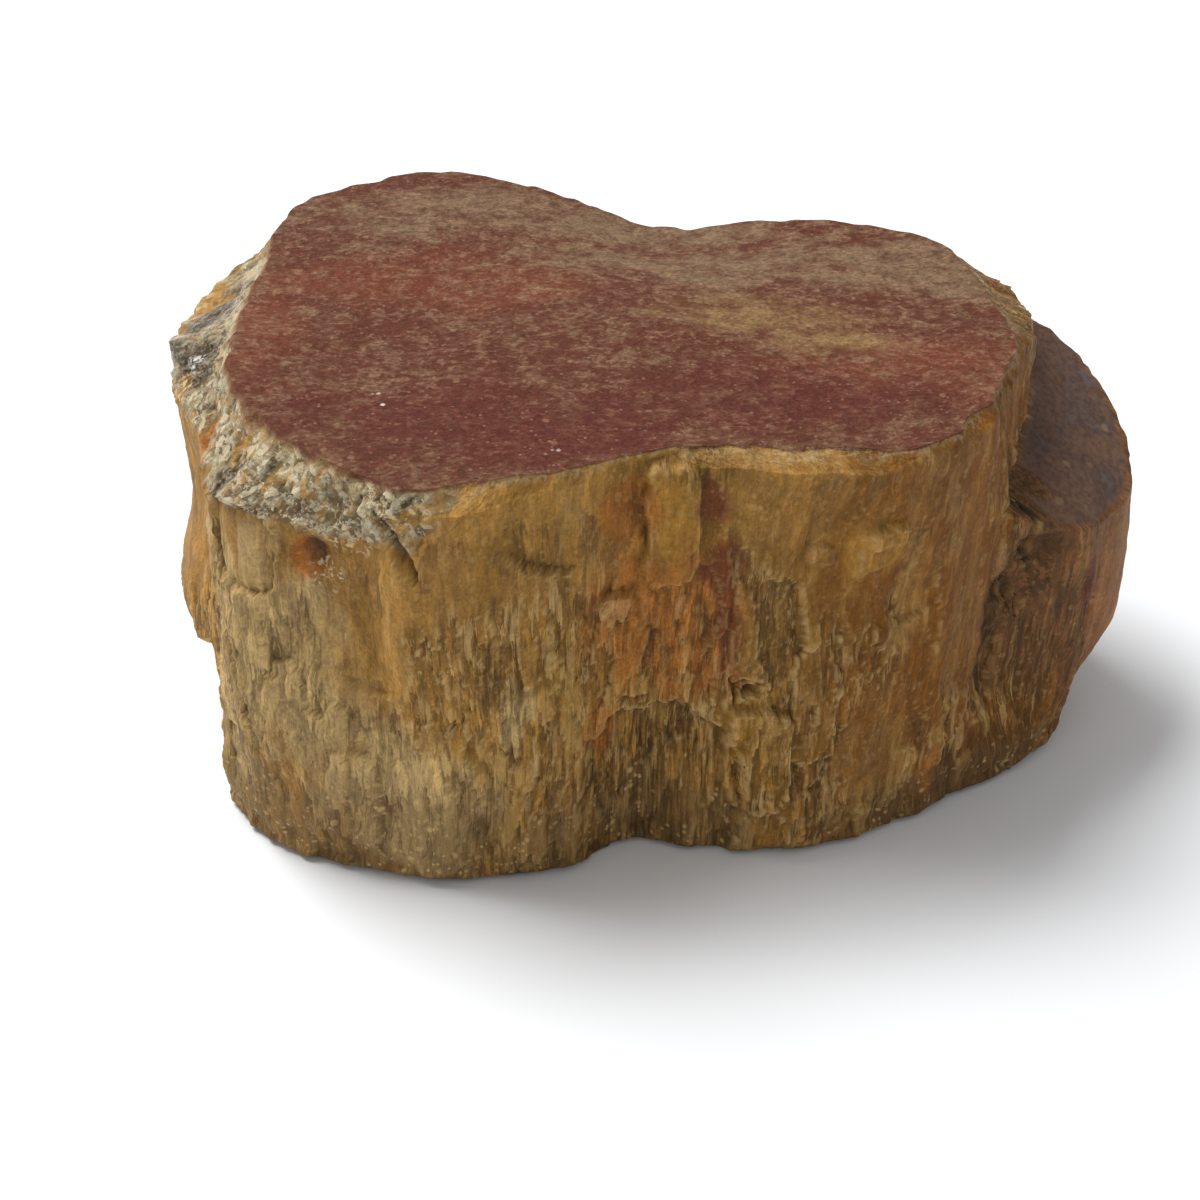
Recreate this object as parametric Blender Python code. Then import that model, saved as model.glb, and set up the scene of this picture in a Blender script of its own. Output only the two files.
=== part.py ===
"""Rough tiger's eye: one broken lump of fibrous quartz, cut off between the two flat walls of its seam.

The fibres stand on end, so the sides are splintery and the red top and the base are flat. A lower lobe
leans against the right end of the block, and the left end is chipped down to a shoulder.
The stone is one solid. It stands on its base, +Z up, with its front towards -Y. Metres throughout.
"""

import math

import bmesh
import bpy
import numpy as np

# Driving dimensions
HEIGHT = 0.0240  # seam thickness, from the base to the top face
AXIS = (-0.00130, 0.00078)  # the upright line that every outline's radii are measured from
FOOT_RISE = (0.0010, 0.0075)  # heights between which the foot's outline grows into the wall's
BASE_INSET = 0.0007  # the flat base stops this far inside the foot
BASE_ROUND = 0.0006  # height of the worn edge round the base

# Outlines: angle in degrees, anticlockwise from +X, and radius from the axis
RIM = {
    -175: 0.0193, -161: 0.0202, -145: 0.0206, -126: 0.0203, -119: 0.0202, -112: 0.0185,
    -100: 0.0165, -87: 0.0149, -76: 0.0147, -59: 0.0160, -53: 0.0174, -43: 0.0197, -26: 0.0201,
    -12: 0.0200, 0: 0.0194, 12: 0.0187, 22: 0.0183, 30: 0.0170, 44: 0.0142, 57: 0.0122,
    68: 0.0110, 82: 0.0108, 95: 0.0116, 110: 0.0144, 125: 0.0186, 146: 0.0206, 157: 0.0200,
    169: 0.0191,
}
BLOCK = {
    -180: 0.0232, -160: 0.0229, -144: 0.0238, -136: 0.0229, -127: 0.0213, -119: 0.0205,
    -112: 0.0190, -100: 0.0169, -88: 0.0152, -78: 0.0153, -65: 0.0168, -44: 0.0199, -36: 0.0205,
    -23: 0.0213, -8: 0.0219, 8: 0.0217, 16: 0.0213, 26: 0.0202, 36: 0.0184, 48: 0.0157,
    65: 0.0131, 85: 0.0125, 100: 0.0140, 115: 0.0174, 130: 0.0199, 146: 0.0212, 154: 0.0222,
    168: 0.0233,
}
FOOT = {
    -180: 0.0206, -165: 0.0219, -155: 0.0236, -146: 0.0244, -136: 0.0234, -119: 0.0205,
    -105: 0.0182, -94: 0.0160, -88: 0.0153, -78: 0.0160, -65: 0.0174, -51: 0.0194, -36: 0.0208,
    -31: 0.0216, -23: 0.0234, -11: 0.0252, 5: 0.0254, 20: 0.0230, 35: 0.0190, 52: 0.0154,
    70: 0.0130, 90: 0.0128, 108: 0.0150, 125: 0.0180, 145: 0.0196, 162: 0.0199,
}
LOBE = {
    -60: 0.0150, -33: 0.0200, -27: 0.0211, -21: 0.0236, -15: 0.0257, -7: 0.0270, 0: 0.0270,
    10: 0.0258, 20: 0.0237, 30: 0.0208, 45: 0.0150, 90: 0.0080, 180: 0.0080,
}
# Depth below the top face at which the broken edge round it starts
BEVEL = {
    -180: 0.0029, -161: 0.0031, -145: 0.0030, -130: 0.0023, -119: 0.0012, -105: 0.0008,
    -60: 0.0006, -30: 0.0010, -10: 0.0015, 11: 0.0017, 30: 0.0020, 60: 0.0026, 90: 0.0022,
    115: 0.0016, 140: 0.0018, 155: 0.0026,
}
BEVEL_HOLLOW = 0.5  # 0 for a straight chamfer, 1 for one scooped out to a shelf below a small cliff

# The lobe ends in two sloping planes, one falling forwards and one backwards. Each has its height at the
# axis, and how far it falls along +X and +Y.
LOBE_PLANES = ((0.0304, 0.52, -0.65), (0.0349, 0.52, 0.65))

# Plates split off the wall: angle, height, half width, half height, and how far each stands out
PLATES = {
    "upper_plate": (-81, 0.0203, 0.0013, 0.0033, 0.0006),
    "lower_plate": (-66, 0.0065, 0.0016, 0.0032, 0.0006),
    "under_ledge": (-83, 0.0044, 0.0040, 0.0046, -0.0009),
    "front_scoop": (-104, 0.0199, 0.0026, 0.0027, -0.0008),
    "left_facet": (-126, 0.0148, 0.0023, 0.0036, -0.0006),
    "corner_hollow": (-141, 0.0188, 0.0022, 0.0025, -0.0006),
    "right_step": (-47, 0.0110, 0.0028, 0.0060, -0.0005),
    "back_plate": (118, 0.0140, 0.0045, 0.0060, 0.0008),
    "back_hollow": (76, 0.0080, 0.0050, 0.0055, -0.0010),
    "back_sliver": (146, 0.0160, 0.0025, 0.0045, -0.0007),
    "left_plate": (176, 0.0095, 0.0040, 0.0035, 0.0006),
    "right_back_plate": (40, 0.0090, 0.0030, 0.0070, 0.0008),
}
PLATE_RAGGEDNESS = 0.25  # how far a plate's edge wanders, as a share of its half width
PLATE_RAG_SIZE = 0.0025
# Pits: the same five values, the last below zero
PITS = {
    "amber_pit": (-134, 0.0187, 0.0011, 0.0012, -0.0020),
    "slit": (-118, 0.0194, 0.0009, 0.0022, -0.0014),
    "shoulder_hollow": (179, 0.0222, 0.0026, 0.0012, -0.0009),
    "lobe_gap": (-21, 0.0130, 0.0014, 0.0022, -0.0028),
    "lobe_crease": (-26, 0.0095, 0.0010, 0.0030, -0.0014),
    "low_crease": (-30, 0.0055, 0.0010, 0.0030, -0.0008),
}
LUMP_SIZE = 0.0085
LUMP_DEPTH = 0.0005
BUNDLE_SIZE = (0.0027, 0.0160)  # across and along the fibres
BUNDLE_DEPTH = 0.0005
LEDGE_SIZE = (0.0050, 0.0085)
LEDGE_DEPTH = 0.0006
LEDGE_STEPS = 2.5  # ledges between the deepest part of the wall and the proudest
LEDGE_EDGE = 0.3  # the share of each step that is its slope
TOP_SWELL_SIZE = 0.0120
TOP_SWELL_DEPTH = 0.0003
SADDLE = (0.0020, 0.0092, 0.0050, 0.0008)  # a dip in the top's back edge: x, y, radius, depth

# Mesh
COLUMNS = 148
WALL_ROWS = 22
BEVEL_ROWS = 3
TOP_RINGS = 6
STONE_COLOUR = (0.30, 0.17, 0.06, 1.0)
STONE_ROUGHNESS = 0.6
SHARP_EDGE = 35  # degrees


def around(points, angle):
    """The smooth closed curve through (degrees: value) points, as cubic Hermite pieces, at each angle."""
    known = np.array(sorted(points), float)
    value = np.array([points[a] for a in sorted(points)], float)
    known = np.concatenate([known[-2:] - 360, known, known[:3] + 360])
    value = np.concatenate([value[-2:], value, value[:3]])
    slope = np.zeros_like(value)
    slope[1:-1] = (value[2:] - value[:-2]) / (known[2:] - known[:-2])
    turned = (np.degrees(angle) + 180) % 360 - 180
    i = np.clip(np.searchsorted(known, turned, side="right") - 1, 1, len(known) - 3)
    span = known[i + 1] - known[i]
    s = (turned - known[i]) / span
    start = value[i] * (1 + 2 * s) + slope[i] * span * s
    end = value[i + 1] * (3 - 2 * s) - slope[i + 1] * span * (1 - s)
    return start * (1 - s) ** 2 + end * s**2


def ramp(low, high, value):
    """0 below low, 1 above high, and an S-curve between them."""
    t = np.clip((value - low) / (high - low), 0, 1)
    return t * t * (3 - 2 * t)


def hashed(ix, iy, iz, seed):
    """A fixed value from 0 to 1 for each whole-number corner of space."""
    h = (ix * 374761393 + iy * 668265263 + iz * 1274126177 + seed * 69069).astype(np.uint64)
    h = h & np.uint64(0xFFFFFFFF)
    h = ((h ^ (h >> np.uint64(13))) * np.uint64(1103515245)) & np.uint64(0xFFFFFFFF)
    h = h ^ (h >> np.uint64(16))
    return (h & np.uint64(0xFFFF)).astype(float) / 65535


def noise(x, y, z, seed):
    """Smooth noise from -1 to 1: the hashed values of the eight corners round a point, blended."""
    whole = [np.floor(c).astype(np.int64) for c in (x, y, z)]
    fade = [(c - w) ** 2 * (3 - 2 * (c - w)) for c, w in zip((x, y, z), whole)]
    total = np.zeros(np.broadcast(x, y, z).shape)
    for corner in range(8):
        step = (corner & 1, corner >> 1 & 1, corner >> 2 & 1)
        weight = math.prod(f if s else 1 - f for f, s in zip(fade, step))
        total += weight * hashed(*(w + s for w, s in zip(whole, step)), seed)
    return 2 * total - 1


def fibre_noise(x, y, z, size, seed):
    """Noise drawn out along the upright fibres; size is (across, along)."""
    across, along = size
    return noise(x / across, y / across, z / along, seed)


def place(angle, height, spot):
    """Where each point is from a spot's middle, across the wall and upright, in the spot's half widths."""
    spot_angle, spot_height, half_width, half_height = spot[:4]
    turn = (np.degrees(angle) - spot_angle + 180) % 360 - 180
    arc = np.radians(turn) * around(BLOCK, np.radians(spot_angle))
    return arc / half_width, (height - spot_height) / half_height


def plates(x, y, height, angle):
    """Flat patches with steep ragged edges: a squared-off oval whose edge is shifted by noise."""
    rag = PLATE_RAGGEDNESS * noise(x / PLATE_RAG_SIZE, y / PLATE_RAG_SIZE, height / PLATE_RAG_SIZE, 5)
    total = np.zeros_like(height)
    for spot in PLATES.values():
        across, upright = place(angle, height, spot)
        distance = (np.abs(across) ** 3 + np.abs(upright) ** 3) ** (1 / 3) + rag
        total += spot[4] * (1 - ramp(0.8, 1.2, distance))
    return total


def pits(angle, height):
    """Round-bottomed hollows: a bell curve across and upright."""
    total = np.zeros_like(height)
    for spot in PITS.values():
        across, upright = place(angle, height, spot)
        total += spot[4] * np.exp(-(across**2 + upright**2))
    return total


def ledges(x, y, height):
    """Noise cut into level steps, so that its contour lines become small cliffs."""
    level = fibre_noise(x, y, height, LEDGE_SIZE, 3) * LEDGE_STEPS
    floor = np.floor(level)
    return LEDGE_DEPTH * (floor + ramp(0, LEDGE_EDGE, level - floor)) / LEDGE_STEPS


def side_relief(x, y, height, angle):
    """How far the wall stands out from its smooth form: lumps, fibre bundles, ledges, plates and pits."""
    lumps = LUMP_DEPTH * noise(x / LUMP_SIZE, y / LUMP_SIZE, height / LUMP_SIZE, 1)
    bundles = BUNDLE_DEPTH * fibre_noise(x, y, height, BUNDLE_SIZE, 2)
    wall = lumps + bundles + ledges(x, y, height)
    return wall + plates(x, y, height, angle) + pits(angle, height)


def top_height(x, y):
    """The top face: nearly flat, with a slow swell and a dip where its back edge sags."""
    swell = TOP_SWELL_DEPTH * noise(x / TOP_SWELL_SIZE, y / TOP_SWELL_SIZE, 0 * x, 4)
    dip_x, dip_y, dip_radius, dip_depth = SADDLE
    dip = dip_depth * np.exp(-((x - dip_x) ** 2 + (y - dip_y) ** 2) / dip_radius**2)
    return HEIGHT + swell - dip


def wall_radius(angle, height):
    """The wall below the bevel: the foot grows into the block or the lobe, whichever is further out.

    The lobe ends at its two sloping planes. At a given height, a plane's radius is its height at the axis
    less that height, divided by its fall along that direction.
    """
    grown = ramp(*FOOT_RISE, height)
    foot = around(FOOT, angle)
    lobe = foot + (around(LOBE, angle) - foot) * grown
    for axis_height, fall_x, fall_y in LOBE_PLANES:
        fall = np.maximum(fall_x * np.cos(angle) + fall_y * np.sin(angle), 0.01)
        lobe = np.minimum(lobe, np.maximum(axis_height - height, 0) / fall)
    block = foot + (around(BLOCK, angle) - foot) * grown
    worn = ramp(0, BASE_ROUND, height)
    return np.maximum(block, lobe) - BASE_INSET * (1 - worn) ** 2


def to_xy(angle, radius):
    return AXIS[0] + radius * np.cos(angle), AXIS[1] + radius * np.sin(angle)


def column_angles():
    """Angles that divide the wall into columns of equal width."""
    fine = np.linspace(0, 2 * math.pi, 1441)
    x, y = to_xy(fine, np.maximum(around(BLOCK, fine), around(LOBE, fine)))
    length = np.concatenate([[0], np.cumsum(np.hypot(np.diff(x), np.diff(y)))])
    return np.interp(np.arange(COLUMNS) / COLUMNS * length[-1], length, fine)


def side_rows(angle):
    """Rings of points up the side: round the base, up the wall, and in over the bevel to the rim."""
    rim_height = top_height(*to_xy(angle, around(RIM, angle)))
    bevel = around(BEVEL, angle)
    wall = BASE_ROUND + np.linspace(0, 1, WALL_ROWS)[:, None] * (rim_height - bevel - BASE_ROUND)
    over = rim_height - bevel * np.linspace(1, 0, BEVEL_ROWS + 1)[1:, None]
    height = np.vstack([np.zeros((1, COLUMNS)), wall, over])
    inward = np.clip((height - rim_height) / bevel + 1, 0, 1)
    scooped = inward + BEVEL_HOLLOW * inward * (1 - inward)
    radius = wall_radius(angle, height)
    radius = radius + (around(RIM, angle) - radius) * scooped
    x, y = to_xy(angle, radius)
    held = ramp(0, 3 * BASE_ROUND, height) * (1 - 0.7 * inward)
    radius = radius + held * side_relief(x, y, height, np.broadcast_to(angle, height.shape))
    return np.stack([*to_xy(angle, radius), height], axis=2)


def top_rings(angle):
    """Rings of points across the top face, from just inside the rim towards the middle."""
    share = np.linspace(1, 0, TOP_RINGS + 2)[1:-1, None]
    x, y = to_xy(angle, share * around(RIM, angle))
    return np.stack([x, y, top_height(x, y)], axis=2)


def loop_of(mesh, ring):
    """One closed loop of edges through a ring of points."""
    corners = [mesh.verts.new(point) for point in ring]
    return [mesh.edges.new(pair) for pair in zip(corners, corners[1:] + corners[:1])]


def build_stone():
    angle = column_angles()
    mesh = bmesh.new()
    loops = [loop_of(mesh, ring) for ring in np.concatenate([side_rows(angle), top_rings(angle)])]
    for lower, upper in zip(loops, loops[1:]):
        bmesh.ops.bridge_loops(mesh, edges=lower + upper)
    bmesh.ops.contextual_create(mesh, geom=loops[0])
    crown = bmesh.ops.contextual_create(mesh, geom=loops[-1])["faces"]
    middle = bmesh.ops.poke(mesh, faces=crown)["verts"][0]
    middle.co.z = top_height(middle.co.x, middle.co.y)
    bmesh.ops.recalc_face_normals(mesh, faces=mesh.faces)
    data = bpy.data.meshes.new("tigers_eye")
    mesh.to_mesh(data)
    mesh.free()
    data.shade_smooth()
    data.set_sharp_from_angle(angle=math.radians(SHARP_EDGE))
    data.materials.append(stone_material())
    stone = bpy.data.objects.new("tigers_eye", data)
    bpy.context.scene.collection.objects.link(stone)


def stone_material():
    material = bpy.data.materials.new("fibrous_quartz")
    material.use_nodes = True
    shader = material.node_tree.nodes["Principled BSDF"]
    shader.inputs["Base Color"].default_value = STONE_COLOUR
    shader.inputs["Roughness"].default_value = STONE_ROUGHNESS
    shader.inputs["Metallic"].default_value = 0.0
    return material


def main():
    for old in list(bpy.data.objects):
        bpy.data.objects.remove(old)
    build_stone()


main()
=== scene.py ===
"""Rough tiger's eye, finished: the fine broken skin of the stone over its CAD form, and its colours.

The stone is one closed surface on a grid: columns stand side by side round it, and rows run from the middle
of the base out, up the side, in over the bevel and across the top to its middle. Metres throughout.
"""

import math

import bpy
import numpy as np
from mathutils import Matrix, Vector


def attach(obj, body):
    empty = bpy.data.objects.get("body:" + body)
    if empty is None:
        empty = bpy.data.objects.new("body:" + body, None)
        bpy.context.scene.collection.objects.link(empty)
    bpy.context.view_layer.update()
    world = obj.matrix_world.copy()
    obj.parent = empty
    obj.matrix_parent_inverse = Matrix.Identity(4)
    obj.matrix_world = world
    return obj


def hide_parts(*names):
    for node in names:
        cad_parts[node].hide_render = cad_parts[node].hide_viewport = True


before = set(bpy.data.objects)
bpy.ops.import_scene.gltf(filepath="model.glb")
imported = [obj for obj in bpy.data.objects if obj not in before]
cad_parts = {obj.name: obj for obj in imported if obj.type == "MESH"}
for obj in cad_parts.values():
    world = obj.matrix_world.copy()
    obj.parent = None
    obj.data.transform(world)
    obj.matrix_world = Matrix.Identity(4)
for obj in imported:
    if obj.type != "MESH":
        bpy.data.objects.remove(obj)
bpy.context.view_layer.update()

# ---------------------------------------------------------------- main form, as the CAD solid has it
HEIGHT = 0.0240  # seam thickness, from the base to the top face
AXIS = (-0.00130, 0.00078)  # the upright line that every outline's radii are measured from
FOOT_RISE = (0.0010, 0.0075)  # heights between which the foot's outline grows into the wall's
BASE_INSET = 0.0007  # the flat base stops this far inside the foot
BASE_ROUND = 0.0006  # height of the worn edge round the base

# Outlines: angle in degrees, anticlockwise from +X, and radius from the axis
RIM = {
    -175: 0.0193, -161: 0.0202, -145: 0.0206, -126: 0.0203, -119: 0.0202, -112: 0.0185,
    -100: 0.0165, -87: 0.0149, -76: 0.0147, -59: 0.0160, -53: 0.0174, -43: 0.0197, -26: 0.0201,
    -12: 0.0200, 0: 0.0194, 12: 0.0187, 22: 0.0183, 30: 0.0170, 44: 0.0142, 57: 0.0122,
    68: 0.0110, 82: 0.0108, 95: 0.0116, 110: 0.0144, 125: 0.0186, 146: 0.0206, 157: 0.0200,
    169: 0.0191,
}
BLOCK = {
    -180: 0.0229, -160: 0.0222, -144: 0.0234, -136: 0.0228, -127: 0.0213, -119: 0.0205,
    -112: 0.0190, -100: 0.0169, -88: 0.0152, -78: 0.0153, -65: 0.0168, -44: 0.0198, -38: 0.0204,
    -31: 0.0208, -23: 0.0203, -8: 0.0210, 8: 0.0215, 16: 0.0212, 26: 0.0202, 36: 0.0184, 48: 0.0157,
    65: 0.0131, 85: 0.0125, 100: 0.0140, 115: 0.0174, 130: 0.0199, 146: 0.0212, 154: 0.0222,
    168: 0.0229,
}
FOOT = {
    -180: 0.0204, -165: 0.0215, -155: 0.0231, -146: 0.0240, -136: 0.0232, -119: 0.0205,
    -105: 0.0182, -94: 0.0160, -88: 0.0153, -78: 0.0160, -65: 0.0174, -51: 0.0194, -36: 0.0208,
    -31: 0.0216, -23: 0.0234, -11: 0.0252, 5: 0.0254, 20: 0.0230, 35: 0.0190, 52: 0.0154,
    70: 0.0130, 90: 0.0128, 108: 0.0150, 125: 0.0180, 145: 0.0196, 162: 0.0199,
}
LOBE = {
    -60: 0.0150, -33: 0.0196, -26: 0.0204, -21: 0.0231, -15: 0.0257, -7: 0.0273, 0: 0.0273,
    10: 0.0254, 20: 0.0230, 30: 0.0202, 45: 0.0150, 90: 0.0080, 180: 0.0080,
}
# Depth below the top face at which the broken edge round it starts
BEVEL = {
    -180: 0.0025, -161: 0.0030, -145: 0.0030, -130: 0.0023, -119: 0.0012, -105: 0.0008,
    -60: 0.0006, -30: 0.0008, -10: 0.0011, 11: 0.0017, 30: 0.0020, 60: 0.0026, 90: 0.0022,
    115: 0.0016, 140: 0.0018, 155: 0.0026,
}
BEVEL_HOLLOW = 0.5  # 0 for a straight chamfer, 1 for one scooped out to a shelf below a small cliff

# The lobe ends in two sloping planes, one falling forwards and one backwards. Each has its height at the
# axis, and how far it falls along +X and +Y.
LOBE_PLANES = ((0.0306, 0.52, -0.45), (0.0347, 0.52, 0.65))

# Where its sloping face starts: how far the lobe is out of the block, and its face in of its upright wall
FACE_OUT = (0.0, 0.0005)
FACE_IN = (0.0001, 0.0006)
# The same for the smooth strip round the face, and for the strip above it
NEAR_FACE_OUT = (-0.0006, 0.0004)
NEAR_FACE_IN = (-0.0002, 0.0002)
ABOVE_FACE_OUT = (-0.0004, 0.0)
ABOVE_FACE_HEIGHT = (0.0125, 0.0150)

# Plates split off the wall: angle, height, half width, half height, and how far each stands out
PLATES = {
    "upper_plate": (-81, 0.0203, 0.0013, 0.0033, 0.0006),
    "lower_plate": (-66, 0.0065, 0.0016, 0.0032, 0.0006),
    "under_ledge": (-83, 0.0044, 0.0040, 0.0046, -0.0009),
    "corner_hollow": (-141, 0.0188, 0.0022, 0.0025, -0.0004),
    "right_step": (-47, 0.0110, 0.0028, 0.0060, -0.0002),
    "back_plate": (118, 0.0140, 0.0045, 0.0060, 0.0008),
    "back_hollow": (76, 0.0080, 0.0050, 0.0055, -0.0010),
    "back_sliver": (146, 0.0160, 0.0025, 0.0045, -0.0007),
    "right_back_plate": (40, 0.0090, 0.0030, 0.0070, 0.0008),
}
PLATE_RAGGEDNESS = 0.18  # how far a plate's edge wanders, as a share of its half width
PLATE_RAG = ((0.0025, 0.5), (0.0008, 0.6))  # sizes of what moves it, and their shares
# Scoops left by flakes, each deepest at its sharp lower edge: angle, height of that edge, half width, the
# height that the scoop covers, depth, and how far the edge falls to its right in heights covered. Where the
# depth is below zero, the wall leans out to an overhanging edge.
SCOOPS = {
    "left_overhang": (-176, 0.0054, 0.0058, 0.0085, -0.0013, 0),
    "front_scoop": (-103, 0.0190, 0.0022, 0.0034, 0.0006, 0.35),
    "left_facet": (-125, 0.0118, 0.0024, 0.0064, 0.0003, 0),
    "right_flake": (-44, 0.0135, 0.0018, 0.0050, 0.0003, 0),
    "low_flake": (-56, 0.0040, 0.0022, 0.0045, 0.0003, 0),
    "back_flake": (95, 0.0130, 0.0030, 0.0080, 0.0007, 0),
    "back_scar": (158, 0.0060, 0.0030, 0.0070, 0.0006, 0),
}
SCOOP_CURVE = 0.25  # how far the lower edge has curved up at its ends, in heights covered
# Pits: the same five values as the plates, the last below zero
PITS = {
    "left_hollow": (178, 0.0150, 0.0055, 0.0055, -0.0005),
    "amber_pit": (-131.6, 0.0194, 0.0009, 0.0009, -0.0005),
    "shoulder_hollow": (-172, 0.0219, 0.0018, 0.0012, -0.0012),
    "lobe_gap": (-22.0, 0.0145, 0.0013, 0.0009, -0.0007),
    "corner_gap": (-24.4, 0.0124, 0.0007, 0.0010, -0.0007),
}
LUMP_SIZE = 0.0085
LUMP_DEPTH = 0.0005
BUNDLE_SIZE = (0.0027, 0.0160)  # across and along the fibres
BUNDLE_DEPTH = 0.0005
LEDGE_SIZE = (0.0050, 0.0085)
LEDGE_DEPTH = 0.0006
LEDGE_STEPS = 2.5  # ledges between the deepest part of the wall and the proudest
LEDGE_EDGE = 0.3  # the share of each step that is its slope
TOP_SWELL_SIZE = 0.0120
TOP_SWELL_DEPTH = 0.0003
SADDLE = (0.0020, 0.0092, 0.0050, 0.0008)  # a dip in the top's back edge: x, y, radius, depth

# ---------------------------------------------------------------- fine form, in this script only
OUTLINE_STEPS = 1441  # straight steps that an outline is measured with
COLUMNS = 640
FRONT_SHARE = 2.0  # columns stand this much closer together on the front than on the back
FRONT = (-0.1, 0.3)  # how far a direction points forwards, from -1 to 1, where they start to close up
BASE_RINGS = 3
WORN_ROWS = (0.0, 0.25, 0.6)  # heights of the rows on the base's worn edge, as shares of it
WALL_ROWS = 122
BEVEL_ROWS = 12
TOP_RINGS = 14
SHARP_EDGE = 38  # degrees

# Lean of the fibres round the stone: how far a fibre moves anticlockwise for each unit that it climbs
LEAN = {
    -180: 0.0, -120: 0.0, -90: 0.03, -70: 0.05, -45: 0.06, -20: 0.07, 30: 0.0, 100: -0.05, 150: 0.03,
}
LEAN_HEIGHT = 0.012  # the height at which a leaning fibre passes its upright place

# Split plates of three sizes: width, length, how far one stands out or in, and how far it tilts
SPLINTERS = {
    "large": (0.0021, 0.0060, 0.00014, 0.00010),
    "middle": (0.0008, 0.0026, 0.00011, 0.00007),
    "small": (0.00045, 0.0013, 0.00006, 0.0),
}
SPLINTER_MIDDLE = (0.15, 0.7)  # where across its cell a plate's middle starts to be, and over what share
SLAT_SHARE = 0.16  # the share of the middle plates that are pale slats
SLAT_RISE = 0.00009
# What frays the plates' ends and sides: size of the frayed fibres, and how far they reach along and across
FRAY_SIZE = (0.00030, 0.0018)
FRAY_ALONG = 0.0008
SWAY_SIZE = (0.0008, 0.0022)
FRAY_ACROSS = 0.00009
SCOOP_FRAY = 0.2  # the share of it that moves the scoops along
MAIN_FRAY = 0.35  # the share of it that moves the main relief along
DASHES = (0.00034, 0.0016)  # short raised fibres
DASH_EDGE = (0.25, 0.40)
DASH_DEPTH = 0.00005
FIBRES = (0.00036, 0.0060)
FIBRE_DEPTH = 0.00004
FIBRES_LOST = (0.8, 0.85, 0.7)  # the share lost where the edge is chipped, at the lobe's face, in the crevice
GRIT = ((0.00080, 0.00006), (0.00036, 0.00005))
BASE_RAG = ((0.0011, 0.00028), (0.0005, 0.00016))  # sizes and depths of the foot's broken edge
BASE_RAG_REACH = 0.0026  # how high it goes
BASE_WORN = 0.00015  # how far the foot's broken edge is set back
LEDGES_SHOWN = 0.6  # the share of the CAD wall's ledges that is kept, since the splinters break them up
PLATE_SLOPE = 0.00011  # half the width of the slope at a plate's edge
GRAIN_DEPTH = 0.25  # how much the relief moves the fibre pattern: 1 as if cut into it, 0 as if painted on
CALM_HEIGHT = (0.0150, 0.0200)  # the wall is smoother above these heights, where it meets the top
CALM_RAG = 0.003  # how far those heights wander
CALM_FRONT = (-0.2, 0.3)  # how far a direction points forwards where this smoothness starts
CALM_TOP = 0.8
CALM_SPOT_RAG = 0.3
CALM_ROUGHNESS = 0.2  # the share of the fine relief that is left where the wall is calm
CALM_PATCH_SIZE = 0.0045
SLAT_PATCH_SIZE = (0.0030, 0.0050)
SLAT_PATCH_EDGE = (-0.1, 0.3)
BEVEL_RAG = ((0.0020, 0.35),)  # size of what varies the bevel's depth, and by what share
CHIP_HEIGHT = (0.0196, 0.0216)  # chips go on below the bevel, thinning out between these heights
CHIP_RAG = ((0.0012, 0.0008),)
CHIP_START = 0.15  # chips are full from this share of the way in over the bevel
CHIPS_BELOW = 0.75
BEVEL_SMOOTHS = 0.7  # the share of the main relief that is lost on the way in over the bevel
FLAKES = ((0.0013, 0.00030), (0.0006, 0.00020))  # size and depth of the chipped edge's facets
FLAKE_TILT = 1.6
RIM_RAG = ((0.0014, 0.00026), (0.0006, 0.00014))  # sizes and depths of the rim's chips
TOP_GRAIN = ((0.0030, 0.00010), (0.0009, 0.00005))  # size and depth of the top's low relief
TOP_STREAK_SIZE = (0.0040, 0.0006)
TOP_STREAK_DEPTH = 0.00005

SPOT_EDGE = (0.65, 1.3)  # a spot on the wall ends between these distances from its middle, in half widths
TOP_SPOT_EDGE = (0.45, 1.5)

# Where the wall is smooth: angle, height, half width, half height
CALM_SPOTS = (
    (-172, 0.0150, 0.0050, 0.0070), (170, 0.0140, 0.0050, 0.0070), (100, 0.0160, 0.0050, 0.0050),
    (-36, 0.0140, 0.0036, 0.0080), (-51, 0.0175, 0.0030, 0.0040), (-48, 0.0070, 0.0024, 0.0040),
    (-126, 0.0150, 0.0024, 0.0040), (-104, 0.0205, 0.0026, 0.0030), (-116, 0.0196, 0.0030, 0.0026),
    (-81, 0.0203, 0.0012, 0.0032), (-60, 0.0210, 0.0040, 0.0026), (-8, 0.0100, 0.0040, 0.0050),
    (130, 0.0180, 0.0040, 0.0040), (60, 0.0130, 0.0030, 0.0040),
)

# Small pieces on the wall, in the same values as PLATES
SMALL_PLATES = {
    "knob": (-91, 0.0162, 0.0009, 0.0008, 0.00060),
    "curl": (-49, 0.0191, 0.0010, 0.0006, 0.00040),
    "curl_stem": (-51.5, 0.0182, 0.0003, 0.0013, 0.00030),
    "small_curl": (-57, 0.0182, 0.0006, 0.0005, 0.00030),
    "notch": (-68, 0.0106, 0.0008, 0.0005, -0.00050),
    "left_finger": (-139.3, 0.0188, 0.0007, 0.0018, 0.00015),
    "upper_finger": (-136.0, 0.0203, 0.0004, 0.0014, 0.00018),
    "low_sliver": (-128, 0.0050, 0.0012, 0.0030, 0.00030),
    "low_notch": (-112, 0.0055, 0.0007, 0.0022, -0.00030),
    "tall_slat": (-107, 0.0102, 0.0006, 0.0019, 0.00035),
    "short_slat": (-104.5, 0.0112, 0.0004, 0.0010, 0.00030),
    "low_slat": (-113, 0.0070, 0.0004, 0.0013, 0.00030),
    "corner_slat": (-104, 0.0033, 0.0007, 0.0018, 0.00030),
    "corner_strip": (-25, 0.0170, 0.0005, 0.0060, 0.00025),
}

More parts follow.
